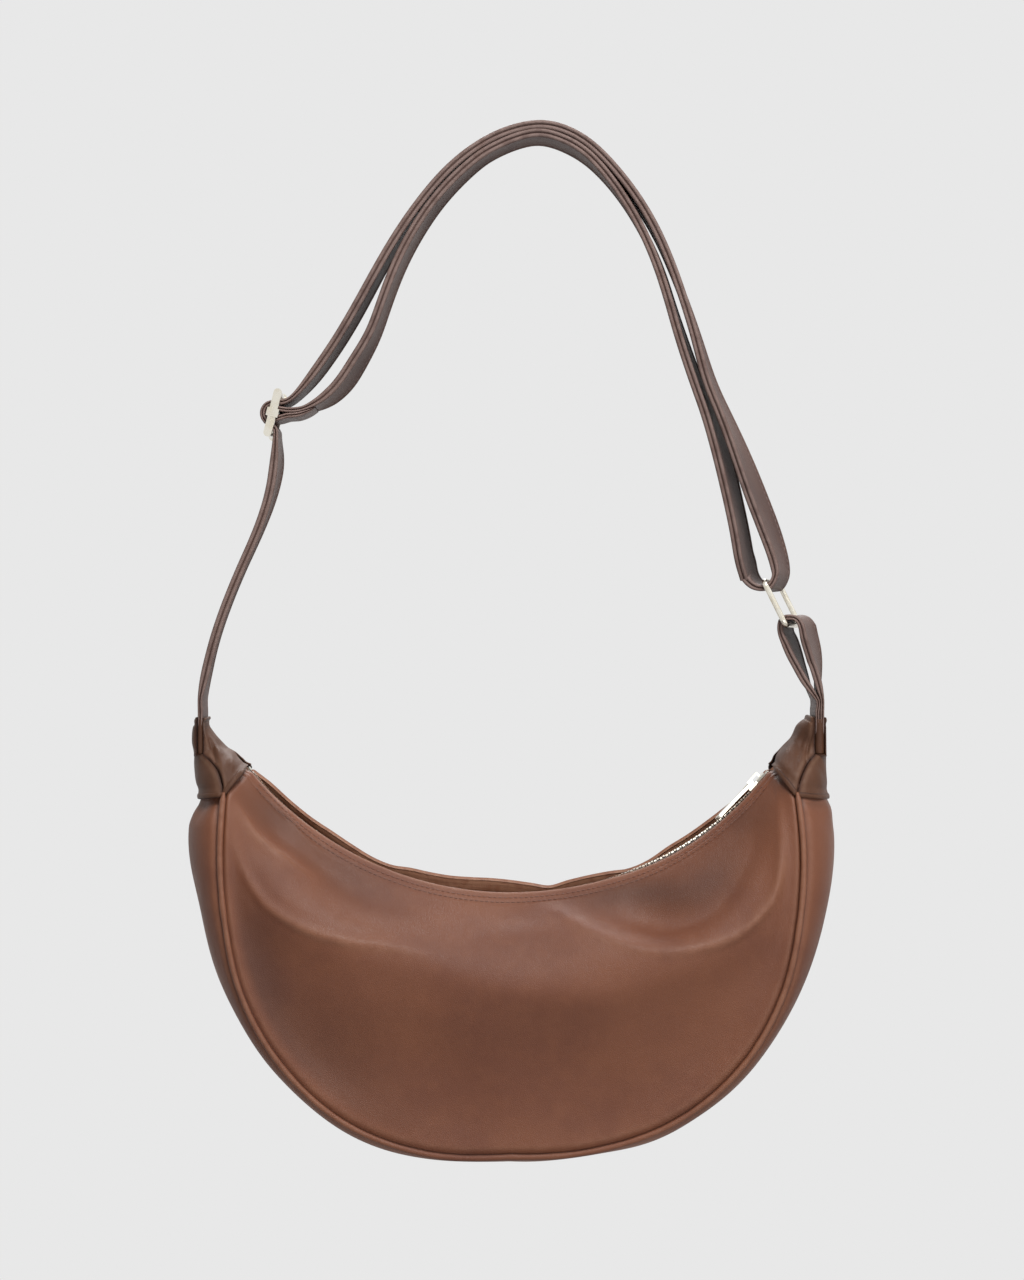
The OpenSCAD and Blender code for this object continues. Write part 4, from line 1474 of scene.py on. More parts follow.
    def build(self) -> None:
        """Make the body's pieces."""
        for face, folds, dents in ((Face.FRONT, self.front_folds, self.front_dents),
                                   (Face.BACK, self.back_folds, self.back_dents)):
            name = face.name.lower()
            sheet = self.panel(face, folds, dents).hung()
            lip = sheet.reach()[0]
            # Painted light on the inner side of the back's lip, in the scuffed colour.
            facing = ridge(lip, self.facing, width=9.0) if face is Face.BACK else 0.0
            label = Label(f"{name}_hide", BODY_LEATHER, (f"{name}_panel",))
            self.bench.hide(label, sheet, self.leather_t, self.worn(sheet, face), facing)
            for number, place in enumerate(self.lip_stitch, 1):
                self.sew(f"{name}_lip_stitch_{number}", sheet, place)
            self.line(f"lining_{name}", sheet, self.lining_margin, self.cols - 2)
            self.piping(face, f"piping_{name}")
        self.gusset()


@dataclass(frozen=True)
class Horn:
    """The lines of one horn's cap, as (in from the root, up from the root) in millimetres.

    Attributes:
        side: The bag's side.
        slot: Half of the width of the slot for the strap.
        ridge: The inner ridge, from the mouth's end to the tip.
        groove: The seam, from the corner at the piping to the slot's floor.
        outer: How far the outer side stands out from the root, at even steps up to the tip.
        folds: Ridges and creases of the front and back pieces.
        root_x: How far the root is from the middle of the pivot line.
        tip: How far the tip is above the root.
        low: How far the outer side's lower edge is below it.
        floor: Where the slot's floor is, as a share of the way from the lower edge to the tip.
        butt: Half of the gap at the seam.
    """

    side: Side
    slot: float
    ridge: tuple[Pair, ...]
    groove: tuple[Pair, ...]
    outer: tuple[float, ...]
    folds: tuple[Fold, ...]
    root_x: float = 153.5
    tip: float = 4.0
    low: float = -35.2
    floor: float = 0.5
    butt: float = 0.12

    def placed(self, inward: Array, z: Array, y: Array) -> Array:
        """Return points from distances in from the root, heights and depths."""
        return np.stack([self.side.value * (self.root_x - inward), y, z], -1)

    def seam(self, h: Array, inner: bool) -> tuple[Array, Array]:
        """Follow the seam and then the slot's edge.

        Args:
            h: Places from the lower edge, 0, to the tip, 1.
            inner: Whether the edge is that of the inner piece, or else of the outer one.

        Returns:
            How far in from the root and how far up from it the places are.
        """
        low = smooth(self.groove, h / self.floor)
        k = np.clip((h - self.floor) / (1 - self.floor), 0, 1)
        sign = 1 if inner else -1
        over = h > self.floor
        across = np.where(over, sign * (self.slot + self.butt), low[..., 0] + sign * self.butt)
        return across, np.where(over, mix(self.groove[-1][1], self.tip, k), low[..., 1])

    def front(self, h: Array, v: Array, face: Face) -> Array:
        """Place the front or back piece.

        Args:
            h: Places from the lower edge, 0, to the tip, 1.
            v: Places from the inner ridge, 0, to the seam, 1.
            face: The piece's side of the bag.

        Returns:
            Points in the bag's own frame.
        """
        m = smooth(self.ridge, h)
        sa, sz = self.seam(h, True)
        lip = mix(SKIN.half_mouth, 0.15, ease(h * 3))
        k = 1 - np.cos(math.pi / 2 * v)
        y = mix(lip, SKIN.cap_y(h), np.sin(math.pi / 2 * v))
        return self.placed(mix(m[..., 0], sa, k), mix(m[..., 1], sz, k), face.value * y)

    def flank(self, h: Array, v: Array) -> Array:
        """Place the side piece.

        Args:
            h: Places from the lower edge, 0, to the tip, 1.
            v: Places from the front seam, -1, to the back seam, 1.

        Returns:
            Points in the bag's own frame.
        """
        sa, sz = self.seam(h, False)
        k = np.cos(math.pi / 2 * v)
        y = SKIN.cap_y(h) * np.sin(math.pi / 2 * v)
        z = mix(sz, mix(self.low, self.tip, h), k)
        return self.placed(mix(sa, -smooth(self.outer, h), k), z, y)


LEFT_HORN = Horn(
    Side.LEFT, 1.6,
    ((23.4, -19.6), (17.8, -15.6), (12.5, -11.3), (7.5, -5.5), (3.8, -0.5), (2.5, 4.0)),
    ((12.7, -33.2), (12.2, -28.3), (9.8, -21.9), (5.8, -17.2), (1.7, -14.2)),
    (2.2, 3.0, 3.5, 4.4, 4.5, 5.2, 4.8, 3.0),
    (Fold(((2.3, 1.5), (3.6, -4), (6.0, -11), (8.2, -17.2)), (-0.3, -1.0, -1.1, -0.9), 0.9, 0.9),
     Fold(((3.4, 1), (5.4, -4), (9.5, -9.5), (13.7, -14.5)), (-0.2, -0.7, -0.6, -0.1), 1.2, 1.2),
     Fold(((4.2, -3), (7.0, -9), (10.8, -17), (13.4, -26)), (0.2, 0.7, 0.8, 0.2), 1.4, 1.4),
     Fold(((12.0, -11.5), (15.5, -16), (17.0, -23)), (0.1, 0.9, 0.2), 1.5, 1.5)))
RIGHT_HORN = Horn(
    Side.RIGHT, 2.6,
    ((23.4, -19.6), (20.5, -14.6), (16.3, -10.0), (12.2, -5.0), (9.3, 0.5), (4.6, 5.2)),
    ((12.7, -33.2), (11.3, -27.3), (8.8, -21.7), (6.0, -17.3), (2.7, -14.2)),
    (5.3, 5.0, 4.6, 4.4, 4.1, 3.9, 3.8, 3.8),
    (Fold(((2.9, 3), (4.4, -5), (5.8, -9), (7.2, -17)), (-0.3, -1.0, -1.1, -0.9), 0.9, 0.9),
     Fold(((6.0, -1), (8.6, -7), (11.2, -14), (13.4, -22)), (-0.2, -0.7, -0.7, -0.1), 1.4, 1.4),
     Fold(((8.5, -2), (11.5, -7), (15.5, -13), (18.5, -20)), (0.2, 0.8, 0.8, 0.2), 1.8, 1.8)))


@dataclass
class Cap:
    """One horn's leather cap: front, back and side pieces and a rolled edge.

    Attributes:
        leather_t: The leather's thickness in millimetres.
        rows: The points up the horn below the slot's floor, and again above it.
        cols: The points across the front or back piece.
        height: The horn's height.
        groove_end: Where the seam's groove ends, as a share of the way to the slot's floor.
        roll_r: Half of the width of the rolled edge.
        roll_share: Its height as a share of its width.
        roll_sides: The points round it.
        roll_step: The least distance from point to point along it.
        roll_cut: How many points at each of its ends are left out.
        roll_ends: How many more are drawn in.
    """

    bench: Bench
    horn: Horn
    leather_t: float = 0.55
    rows: int = 44
    cols: int = 46
    height: float = 36.0
    groove_end: float = 0.82
    roll_r: float = 1.35
    roll_share: float = 0.42
    roll_sides: int = 16
    roll_step: float = 0.25
    roll_cut: int = 4
    roll_ends: float = 16.0

    @property
    def name(self) -> str:
        """Return the cap's name."""
        return f"cap_{self.horn.side.name.lower()}"

    def steps(self) -> Array:
        """Return the rows' places up the horn, with one on each side of the slot's floor."""
        low = np.linspace(0, self.horn.floor - 1e-4, self.rows)
        return np.concatenate([low, np.linspace(self.horn.floor + 1e-4, 1, self.rows)])[:, None]

    def band(self, h: Array) -> Array:
        """Find the relief of the narrow hem round the tip and of the turn above the lower edge.

        Args:
            h: Places from the lower edge, 0, to the tip, 1.

        Returns:
            How far they stand out there.
        """
        down = (1 - h) * self.height
        hem = ridge(down, height=0.4, width=0.9, place=1.3)
        hem = hem + ridge(down, height=-0.35, width=0.6, place=3.3)
        return hem + ridge(h, height=-0.5, width=0.05, place=0.09)

    def grooved(self, far: Array, h: Array) -> Array:
        """Return the relief of the seam's groove at distances from the seam."""
        return ridge(far, height=-0.7, width=0.9) * (h < self.horn.floor * self.groove_end)

    def piece(self, face: Face) -> Sheet:
        """Form the front or back piece.

        Args:
            face: The piece's side of the bag.

        Returns:
            The piece with its folds, in the bag's own frame.
        """
        h = self.steps()
        v = np.linspace(0, 1, self.cols)[None, :]
        flat = self.horn.front(h, v, face)
        sheet = Sheet.over(flat, self.middle(h))
        seam = sheet.reach()[1]
        inward = self.horn.root_x - self.horn.side.value * flat[..., 0]
        out = sum(f.raised(inward, flat[..., 2]) for f in self.horn.folds) + self.grooved(seam, h)
        out = out + (0.3 * wobble(flat, size=12.0, seed=12) + self.band(h)) * ease(seam / 3)
        return sheet.moved(out)

    def flank(self) -> Sheet:
        """Form the side piece.

        Returns:
            The piece in the bag's own frame.
        """
        h = self.steps()
        v = np.linspace(-1, 1, 2 * self.cols)[None, :]
        flat = self.horn.flank(h, v)
        sheet = Sheet.over(flat, self.middle(h))
        near = sheet.near()
        calm = ease(near / 3) * (1 - 0.8 * ease((h - 0.55) / 0.2))
        out = self.grooved(near, h) + 0.35 * wobble(flat, size=14.0, seed=21) * calm
        return sheet.moved(out + self.band(h) * ease(near / 3))

    def middle(self, h: Array) -> Array:
        """Find points inside the horn.

        Args:
            h: Places from the lower edge, 0, to the tip, 1.

        Returns:
            One point for each place, in the bag's own frame.
        """
        inner = smooth(self.horn.ridge, h)
        inward = (inner[..., 0] - smooth(self.horn.outer, h)) / 2
        return self.horn.placed(inward, inner[..., 1] - 4.0, np.zeros_like(inward))

    def hem(self, front: Sheet, flank: Sheet, back: Sheet) -> None:
        """Roll the cap's edge round the horn.

        Args:
            front: The cap's front piece in the bag's own frame.
            flank: Its side piece.
            back: Its back piece.
        """
        path = np.concatenate([front.points[0], flank.points[0], back.points[0][::-1]])
        out = np.concatenate([front.out[0], flank.out[0], back.out[0][::-1]])
        far = np.linalg.norm(np.diff(path, axis=0), axis=-1)
        keep = np.concatenate([[True], far > self.roll_step])
        keep[:self.roll_cut] = keep[-self.roll_cut:] = False
        path, out = path[keep], out[keep]
        place = np.arange(len(path))
        ends = ease(np.minimum(place, place[::-1]) / self.roll_ends)
        path = SKIN.placed(path + out * (-0.05 - 0.8 * (1 - ends))[:, None])
        section = round_section(1.0, self.roll_sides) * np.array([1.0, self.roll_share])
        swell = self.roll_r * (1 + 0.08 * wobble(path, size=7.0, seed=31))
        sections = section[None] * (swell * (0.25 + 0.75 * ends))[:, None, None]
        down = np.cross(out, unit(np.gradient(path, axis=0)))
        # Painted highlight on the roll's top and painted shade along its lower side.
        wear = ridge(section[:, 1], height=0.35, width=0.3, place=self.roll_share)
        wear = wear + ridge(section[:, 0], height=-0.8, width=0.35, place=1.0)
        label = Label(f"{self.name}_roll", CAP_LEATHER_SHADED, (f"{self.name}_binding",))
        self.bench.tube(label, path, sections, down, np.broadcast_to(wear, sections.shape[:2]))

    def build(self) -> None:
        """Make the cap's pieces."""
        front, back, flank = self.piece(Face.FRONT), self.piece(Face.BACK), self.flank()
        for sheet, part in ((front, "front"), (back, "back"), (flank, "side")):
            hung = sheet.hung()
            edge = hung.near() if part == "side" else hung.reach()[1]
            wear = ridge(edge, height=0.3, width=1.2, place=2.4)
            # Painted shade in the seam's groove.
            wear = wear + ridge(edge, height=-0.8, width=0.8)
            label = Label(f"{self.name}_{part}_hide", CAP_LEATHER_SHADED, (f"{self.name}_{part}",))
            self.bench.hide(label, hung, self.leather_t, wear)
        self.hem(front, flank, back)


@dataclass
class RootWeb:
    """The leather web in a horn's slot: sewn to the horn below and to the strap's end above.

    Attributes:
        reach: How far it goes to the front and to the back, in millimetres.
        top: How far it goes above the root.
        low: Where it starts below the root.
        play: The gap between it and each side of the slot.
        bend: Two heights from which end points are worked out, which nothing then uses.
        wear: Painted shade in the slot's gap, as a value below 0.
    """

    bench: Bench
    horn: Horn
    reach: float = 12.7
    top: float = 3.2
    low: float = -13.9
    play: float = 0.18
    bend: Pair = (-12.0, -1.0)
    # Painted shade: it darkens the web, which sits in the slot's gap.
    wear: float = -0.1
    rows: int = 40
    sides: int = 28

    def build(self) -> None:
        """Make the web, with round front and back edges."""
        half = self.horn.slot - self.play
        z = np.linspace(self.low, self.top, self.rows)
        c, s = round_section(1.0, self.sides).T
        section = np.stack([half * s, np.sign(c) * (self.reach - half + half * np.abs(c))], -1)
        path = np.stack([0 * z + self.horn.side.value * self.horn.root_x, 0 * z, z], -1)
        label = Label(f"root_web_{self.horn.side.name.lower()}", CAP_LEATHER_SHADED, body="")
        piece = self.bench.tube(label, SKIN.placed(path), section, np.array([1.0, 0.0, 0.0]),
                                np.full((self.rows, self.sides), self.wear))
        ends = [tuple(float(v) * MM for v in SKIN.placed(path[0] * [1, 1, 0] + [0, 0, up]))
                for up in self.bend]
        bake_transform(piece)


@dataclass
class StrapRoute:
    """The way of the strap and of its tab, in millimetres from the hang point.

    Rows of three give a place as shares of the span and the drop, and a yaw in degrees. Rows of
    two go round a bar, in shares of a radius. Together they are the keys of a smooth curve.

    Attributes:
        drop: How far the roots are below the hang point.
        span: How far they are apart.
        left_root: Where the left one is.
        root_rise: How far the strap stands straight up from its root.
        tab_rise: The same for the tab.
        strap_w: The width of both bands.
        strap_t: The strap's thickness.
        tab_t: The tab's thickness.
        layer_gap: The gap between the tab's two legs.
        crest_rise: How far the inner layer's crest is shifted up.
        root_angles: Where the keys of a root's rounded end lie.
        lower: The strap from the left root to the adjuster.
        outer: Its outer layer from the adjuster over the crest to the ring.
        inner_right: Its inner layer from the ring to the crest.
        inner_left: Its inner layer from the crest to the adjuster.
        thread: Its way through the adjuster.
        sewn: Its end, sewn round the adjuster's centre bar.
        loop: Its loop round the ring's upper bar.
        tab: The tab's loop round the ring's lower bar.
        tab_left: The tab's left leg.
        tab_right: Its right leg.
        adjuster: The middle of the adjuster, in shares.
        adjuster_lean: By how many degrees it leans.
        tail: How far the last two keys of the sewn end are thinned.
        sewn_r: The radius for sewn.
        run_r: The radius for thread.
        ring: The middle of the ring's upper bar, in shares.
        ring_yaw: By how many degrees the ring is turned.
        ring_lean: By how many degrees it hangs askew.
        ring_h: The distance between the middles of its bars.
        loop_r: The radius for loop.
        tab_r: The radius for tab.
        least_full: How full the bands' rolled edges are at the ring's bars.
    """

    drop: float = 293.5
    span: float = 307.0
    left_root: float = -170.999
    root_rise: float = 14.0
    tab_rise: float = 13.0
    strap_w: float = 25.0
    strap_t: float = 2.6
    tab_t: float = 2.2
    layer_gap: float = 0.2
    crest_rise: float = -0.75
    root_angles: tuple[float, ...] = (78, 55, 28)
    lower: tuple[Triple, ...] = (
        (0.005, 0.083, -3), (0.019, 0.145, -4), (0.039, 0.206, -4), (0.063, 0.267, -4),
        (0.090, 0.329, -3), (0.111, 0.390, 0), (0.121, 0.445, 3))
    outer: tuple[Triple, ...] = (
        (0.183, 0.595, 2), (0.2235, 0.656, 3), (0.2575, 0.717, 3), (0.2895, 0.779, 2),
        (0.324, 0.840, 1), (0.365, 0.900, 0), (0.407, 0.948, 0), (0.454, 0.9848, 0),
        (0.503, 1.0082, 0), (0.557, 1.0169, 0), (0.609, 0.9985, 0), (0.654, 0.961, 1),
        (0.703, 0.900, 3), (0.738, 0.840, 4), (0.764, 0.779, 5), (0.786, 0.717, 7),
        (0.805, 0.656, 9), (0.825, 0.584, 13), (0.851, 0.523, 16), (0.879, 0.451, 22),
        (0.901, 0.390, 25), (0.921, 0.336, 25), (0.935, 0.293, 22))
    inner_right: tuple[Triple, ...] = (
        (0.881, 0.290, 20), (0.874, 0.332, 20), (0.862, 0.390, 20), (0.848, 0.451, 20),
        (0.826, 0.523, 15), (0.804, 0.584, 13), (0.780, 0.656, 11), (0.7615, 0.7175, 8),
        (0.7425, 0.7795, 8), (0.716, 0.842, 7), (0.681, 0.9025, 6), (0.6413, 0.953, 3),
        (0.604, 0.983, 0))
    inner_left: tuple[Triple, ...] = (
        (0.519, 0.9975, 0), (0.4785, 0.9805, 0), (0.4425, 0.9567, 2), (0.3905, 0.9035, 4),
        (0.350, 0.844, 5), (0.3185, 0.7815, 5), (0.2955, 0.718, 5), (0.2775, 0.6645, 6),
        (0.252, 0.617, 10), (0.230, 0.581, 11), (0.202, 0.554, 8))
    thread: tuple[Pair, ...] = (
        (0.70, -2.0), (0.50, -1.29), (-0.11, -1.04), (-0.743, -0.669), (-1, 0),
        (-0.716, 0.698), (0, 1), (0.70, 1.23), (1.43, 2.0))
    sewn: tuple[Pair, ...] = (
        (5.36, 2.46), (3.86, 1.64), (2.32, 1.18), (1.07, 1.04), (0, 1), (-0.707, 0.707),
        (-1, 0), (-0.707, -0.707), (0, -1), (1.14, -0.57), (2.46, 0.18), (4.14, 0.78), (5.71, 1.74),
        (6.9, 2.75))
    loop: tuple[Pair, ...] = (
        (1.6, 2.33), (1.67, 1.0), (1.13, -0.27), (0.55, -0.89), (0, -1), (-1.1, -1.05),
        (-2.5, -0.45), (-3.6, 0.85), (-4.05, 2.2))
    tab: tuple[Pair, ...] = (
        (-0.40, -2.13), (-0.96, -0.85), (-0.88, 0.45), (-0.4, 0.92), (0.32, 1.04),
        (1.2, 0.9), (1.87, 0.13), (2.24, -1.33))
    tab_left: tuple[Triple, ...] = ((0.982, 0.0733, 8), (0.970, 0.104, 14), (0.9625, 0.1244, 18))
    tab_right: tuple[Triple, ...] = ((0.994, 0.1244, 18), (0.998, 0.104, 14), (1.0015, 0.0733, 6))
    adjuster: Pair = (0.118, 0.528)
    adjuster_lean: float = 14.3
    tail: Pair = (-0.3, -0.85)
    sewn_r: float = 2.8
    run_r: float = 5.6
    ring: Pair = (0.926, 0.2436)
    ring_yaw: float = 20.0
    ring_lean: float = 27.0
    ring_h: float = 24.2
    loop_r: float = 3.0
    tab_r: float = 3.75
    least_full: float = 0.35

    def spot(self, row: Sequence[float]) -> list[float]:
        """Return x, y, z, yaw, width share and fullness of a row of shares."""
        x, z = self.left_root + row[0] * self.span, (row[1] - 1) * self.drop
        return [x, 0.0, z, row[2], 1.0, 1.0]

    def root(self, x: float, rise: float) -> list[list[float]]:
        """Make the keys of a band's end at a root.

        Args:
            x: Where the root is.
            rise: How far the band stands straight up from it.

        Returns:
            The keys of the rounded end and of the straight rise.
        """
        half = self.strap_w / 2
        ends = [[x, 0, -self.drop - half * math.sin(math.radians(a)), 0,
                 math.cos(math.radians(a)), 0] for a in self.root_angles]
        return ends + [[x, 0, -self.drop + k * rise, 0, 1, 0] for k in (0, 0.5, 1)]

    def at_adjuster(self, row: Sequence[float], r: float, full: float = 0) -> list[float]:
        """Make a key at the adjuster's centre bar.

        Args:
            row: Its place in shares of the radius.
            r: The radius.
            full: How full the band is there.

        Returns:
            The key.
        """
        at = self.spot([*self.adjuster, 0])
        a = math.radians(self.adjuster_lean)
        x, z = row[0] * r, row[1] * r
        return [at[0] + x * math.cos(a) + z * math.sin(a), 0,
                at[2] - x * math.sin(a) + z * math.cos(a), 0, 1, full]

    def ring_bars(self) -> tuple[Array, Array]:
        """Find the ring's two bars.

        Returns:
            The middles of the upper and of the lower bar.
        """
        yaw, lean = math.radians(self.ring_yaw), math.radians(self.ring_lean)
        down = np.array([math.sin(lean) * math.cos(yaw), -math.sin(lean) * math.sin(yaw),
                         -math.cos(lean)])
        top = np.array(self.spot([*self.ring, 0])[:3])
        top = top - np.array([0, down[1] * self.ring_h / 2, 0])
        return top, top + down * self.ring_h

    def at_ring(self, bar: Array, row: Sequence[float], r: float) -> list[float]:
        """Make a key at one of the ring's bars.

        Args:
            bar: The bar's middle.
            row: The key's place in shares of the radius.
            r: The radius.

        Returns:
            The key.
        """
        a = math.radians(self.ring_yaw)
        x = row[0] * r
        full = max(self.least_full, float(ease((math.hypot(*row) * r - 3.5) / 6.0)))
        return [bar[0] + x * math.cos(a), bar[1] - x * math.sin(a), bar[2] + row[1] * r,
                self.ring_yaw, 1, full]

    def strap(self) -> list[list[float]]:
        """Make the keys of the whole strap.

        Returns:
            The keys from the left root to the end sewn at the adjuster.
        """
        top, _ = self.ring_bars()
        fullness = [0] * (len(self.sewn) - len(self.tail)) + [*self.tail]
        return (self.root(self.left_root, self.root_rise) + [self.spot(r) for r in self.lower]
                + [self.at_adjuster(r, self.run_r) for r in self.thread]
                + [self.spot(r) for r in self.outer]
                + [self.at_ring(top, r, self.loop_r) for r in self.loop]
                + [self.spot(r) for r in self.inner_right]
                + [[0, 0, self.strap_t / 2 + self.crest_rise, 0, 1, 1]]
                + [self.spot(r) for r in self.inner_left]
                + [self.at_adjuster(r, self.sewn_r, k) for r, k in zip(self.sewn, fullness)])

    def tab_loop(self) -> list[list[float]]:
        """Make the keys of the tab that holds the ring.

        Returns:
            The keys from its left leg's root round the ring's lower bar to its right leg's root.
        """
        _, low = self.ring_bars()
        leg = (self.tab_t + self.layer_gap) / 2
        x = self.left_root + self.span
        return (self.root(x - leg, self.tab_rise) + [self.spot(r) for r in self.tab_left]
                + [self.at_ring(low, r, self.tab_r) for r in self.tab]
                + [self.spot(r) for r in self.tab_right] + self.root(x + leg, self.tab_rise)[::-1])


@dataclass
class Strap:
    """The long strap and the short tab: folded bands with two sewn edges.

    Attributes:
        per: The points from key to key.
        held: How many points at each end keep their places.
        eased: How often the rest is evened out.
        eased_sideways: How often its way to the front and back is.
        edge_stitch: How far from the edge the stitches run, in millimetres.
        stitch_pitch: The distance from stitch to stitch.
        thread: The thread's thickness.
        unsewn: How many keys at the start and at the end have no stitches.
        roll: How much fuller than the rest a rolled edge is.
        pressed: The thickness in the middle, as a share of the band's.
        narrowest: The least width at a rounded end, as a share of the band's.
    """

    bench: Bench
    route: StrapRoute = field(default_factory=StrapRoute)
    per: int = 8
    held: int = 40
    eased: int = 14
    eased_sideways: int = 70
    edge_stitch: float = 2.6
    stitch_pitch: float = 3.0
    thread: float = 0.38
    unsewn: tuple[int, int] = (4, 3)
    roll: float = 0.95
    pressed: float = 0.97
    narrowest: float = 0.15

    def section(self, half: Array, t: float, full: Array) -> Array:
        """Make the corners of a folded band: two plies whose rolled edges meet in a groove.

        Args:
            half: Half of the band's width at each point of its way.
            t: The band's thickness.
            full: How full its rolled edges are at each point, from 0 to 1, or how thinned below 0.

        Returns:
            The (side, up) pairs at each point.
        """
        seam = self.edge_stitch
        rows = []
        for h, swell in zip(half, full):
            flat = t / 2 * (1 + min(swell, 0.0))
            r = flat + self.roll * max(swell, 0.0)
            k = min(1.0, h / 6.0)
            corner = [(-0.9, 0.0), (-0.42, 0.13 * r), (-0.08, 0.32 * r), (0.0, 0.5 * r),
                      (-0.1, 0.72 * r), (-0.42, 0.92 * r), (-0.95, 1.0 * r), (-1.5, 0.98 * r),
                      (-seam + 0.4, mix(r, flat, 0.35)), (-seam, mix(r, flat, 0.5) * 0.9),
                      (-seam - 0.45, mix(r, flat, 0.6)), (-seam - 2.5, flat)]
            right = [(h + dx * k, up) for dx, up in corner]
            left = [(-w, up) for w, up in right[::-1]]
            rows.append(right + left + [(-w, -up) for w, up in right[1:]]
                        + [(w, -up) for w, up in right[:0:-1]])
        return np.array(rows)

    def band(self, name: str, keys: list[list[float]], t: float, node: str) -> None:
        """Make one band with its stitches.

        Args:
            name: The piece's name.
            keys: Rows of x, y, z, yaw, width share and fullness.
            t: The band's thickness.
            node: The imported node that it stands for.
        """
        rows = smooth(keys, np.linspace(0, 1, (len(keys) - 1) * self.per + 1))
        for turn in range(self.eased_sideways):
            cols = slice(None) if turn < self.eased else slice(1, 2)
            part = rows[self.held:-self.held, cols]
            part[1:-1] = (part[:-2] + 2 * part[1:-1] + part[2:]) / 4
        path, yaw = rows[:, :3], np.radians(rows[:, 3])
        side = np.stack([np.sin(yaw), np.cos(yaw), np.zeros(len(yaw))], -1)
        half = self.route.strap_w / 2 * np.maximum(rows[:, 4], self.narrowest)
        full = np.clip(rows[:, 5], -0.9, 1)
        sections = self.section(half, t * self.pressed, full)
        inset = half[:, None] - np.abs(sections[..., 0])
        outer = ease(np.abs(sections[..., 1]) / (t / 2) / 0.3)
        # Scuffed along the edges, and painted shade in the groove where the two plies meet.
        wear = 0.6 * bell(inset / 0.8) * outer - 0.9 * (1 - outer)
        label = Label(name, STRAP_LEATHER, (node,), "strap")
        self.bench.tube(label, path, sections, side, wear)
        wide, up = framed(path, side)
        sewn = slice(self.unsewn[0] * self.per, -self.unsewn[1] * self.per)
        lift = t * 0.42 + 0.4 * self.roll * np.maximum(full, 0.0)
        for number, (edge, face) in enumerate(((1, 1), (1, -1), (-1, 1), (-1, -1)), 1):
            line = path + wide * (edge * (half - self.edge_stitch))[:, None]
            line = line + up * (face * lift)[:, None]
            label = Label(f"{name}_stitch_{number}", STRAP_THREAD, body="strap")
            self.bench.stitches(label, line[sewn], (up * face)[sewn], self.stitch_pitch,
                                self.thread)

    def build(self) -> None:
        """Make the strap and the tab."""
        self.band("strap_band", self.route.strap(), self.route.strap_t, "shoulder_strap")
        self.band("tab_band", self.route.tab_loop(), self.route.tab_t, "tab_loop")


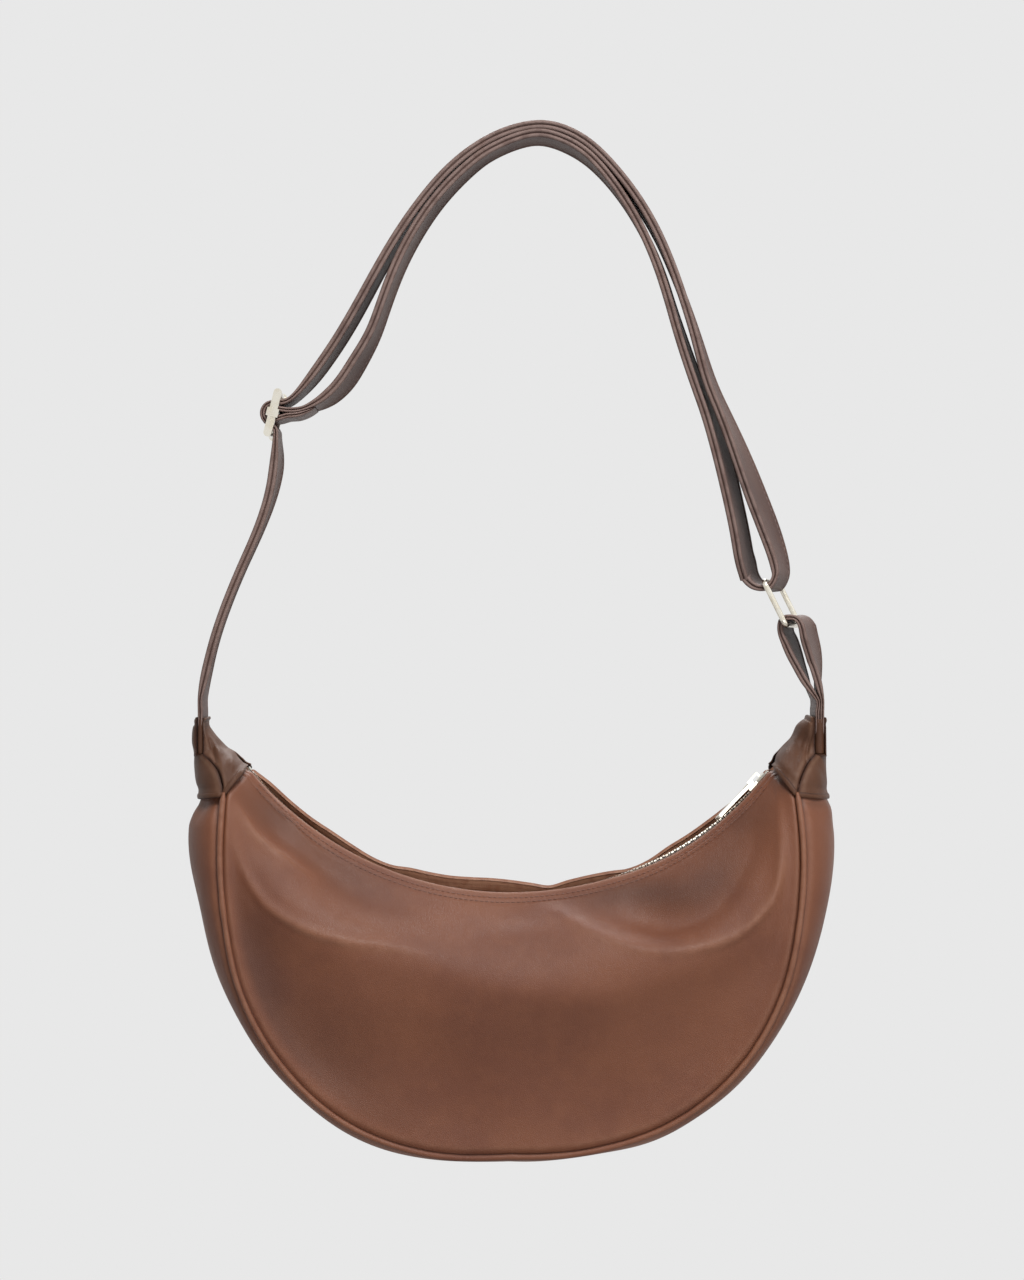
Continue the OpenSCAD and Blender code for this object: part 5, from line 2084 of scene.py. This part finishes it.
@dataclass
class Zip:
    """The zip's woven tapes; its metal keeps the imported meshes.

    Attributes:
        chain_depth: How far the chain lies below the mouth's edge, in millimetres.
        tape_edge: How far from the middle a tape starts.
        tooth_part: How much further from it at the slider's far side.
        slider_rest: The slider's angle round the mouth's centre at rest, in degrees.
        slider_half: Half of the slider's length.
        tape_t: A tape's thickness.
        tuck: How far from the seam's middle the panels end.
        lip_gap: How far from the lip's outer side a tape runs along it.
        below: How deep a tape lies under a panel's outer side.
        end: How far along the crescent the tapes go.
        rows: The points along a tape.
        cols: The points across its flat part.
        under_front: How far down the front panel its tape goes, as shares of its height.
        under_back: The same for the back.
    """

    bench: Bench
    chain_depth: float = 1.55
    tape_edge: float = 2.65
    tooth_part: float = 1.4
    slider_rest: float = 48.211
    slider_half: float = 5.5
    tape_t: float = 0.5
    tuck: float = 1.1
    lip_gap: float = 1.7
    below: float = 1.9
    end: float = 0.99
    rows: int = 260
    cols: int = 8
    under_front: tuple[float, ...] = (0.0, 0.02, 0.045)
    under_back: tuple[float, ...] = (0.0, 0.062, 0.09)

    def tape(self, face: Face) -> None:
        """Weave one tape, from beside its teeth to under the lip.

        Args:
            face: The tape's side of the bag.
        """
        name = f"zip_tape_{face.name.lower()}"
        t = np.linspace(-self.end, self.end, self.rows)[:, None]
        angle = SKIN.mouth_angle * t
        arc = math.degrees(1 / SKIN.mouth_r)
        parting = self.tooth_part * ease((angle - self.slider_rest) / (self.slider_half * arc))
        x, z = SKIN.mouth(t, self.chain_depth - self.tape_t / 2)
        near = np.stack([x, face.value * (self.tape_edge + parting), z], -1)
        far = np.stack([x, face.value * (SKIN.half_mouth - self.lip_gap) + 0 * x, z], -1)
        places = np.array([self.under_back if face is Face.BACK else self.under_front])
        under = Sheet.over(SKIN.panel(t, places, face, self.tuck), INSIDE)
        low = under.points - under.out * self.below
        w = np.linspace(0, 1, self.cols)[None, :, None]
        grid = np.concatenate([mix(near, far, w), low[:, 1:]], 1)
        sheet = Sheet.over(SKIN.placed(grid), SKIN.placed(INSIDE))
        self.bench.hide(Label(f"{name}_weave", TAPE, (name,)), sheet, self.tape_t)

    def build(self) -> None:
        """Make both tapes."""
        for face in Face:
            self.tape(face)


@dataclass
class Fittings:
    """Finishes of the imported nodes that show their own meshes."""

    nodes: dict[str, bpy.types.Object]
    bevels: dict[str, float] = field(default_factory=lambda: {
        "zip_slider": 0.18, "zip_puller": 0.3, "adjuster_bar": 0.25, "adjuster_frame": 0.35,
        "zip_top_stops": 0.2, "zip_bottom_stop": 0.2, "zip_teeth_front": 0.12,
        "zip_teeth_back": 0.12})

    def dress(self, node: str, look: Finish) -> None:
        """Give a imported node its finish.

        Args:
            node: The node's name.
            look: The finish of its surface.
        """
        piece = self.nodes[node]
        piece.data.materials.clear()
        piece.data.materials.append(look.material())
        if node in self.bevels:
            soften(piece, self.bevels[node], angle=35.0)
        LOG.info("%s keeps its packed mesh", node)

    def build(self) -> None:
        """Dress the metal."""
        for node in (*self.bevels, "rect_ring"):
            self.dress(node, PALE_GOLD)


def main() -> None:
    """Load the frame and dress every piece."""
    logging.basicConfig(level=logging.INFO, format="%(message)s")
    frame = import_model()
    Studio().build()
    bench = Bench()
    Body(bench).build()
    for horn in (LEFT_HORN, RIGHT_HORN):
        Cap(bench, horn).build()
        RootWeb(bench, horn).build()
    Strap(bench).build()
    Zip(bench).build()
    Fittings(frame["nodes"]).build()
    LOG.info("%d new pieces", bench.count)


if __name__ == "__main__":
    main()
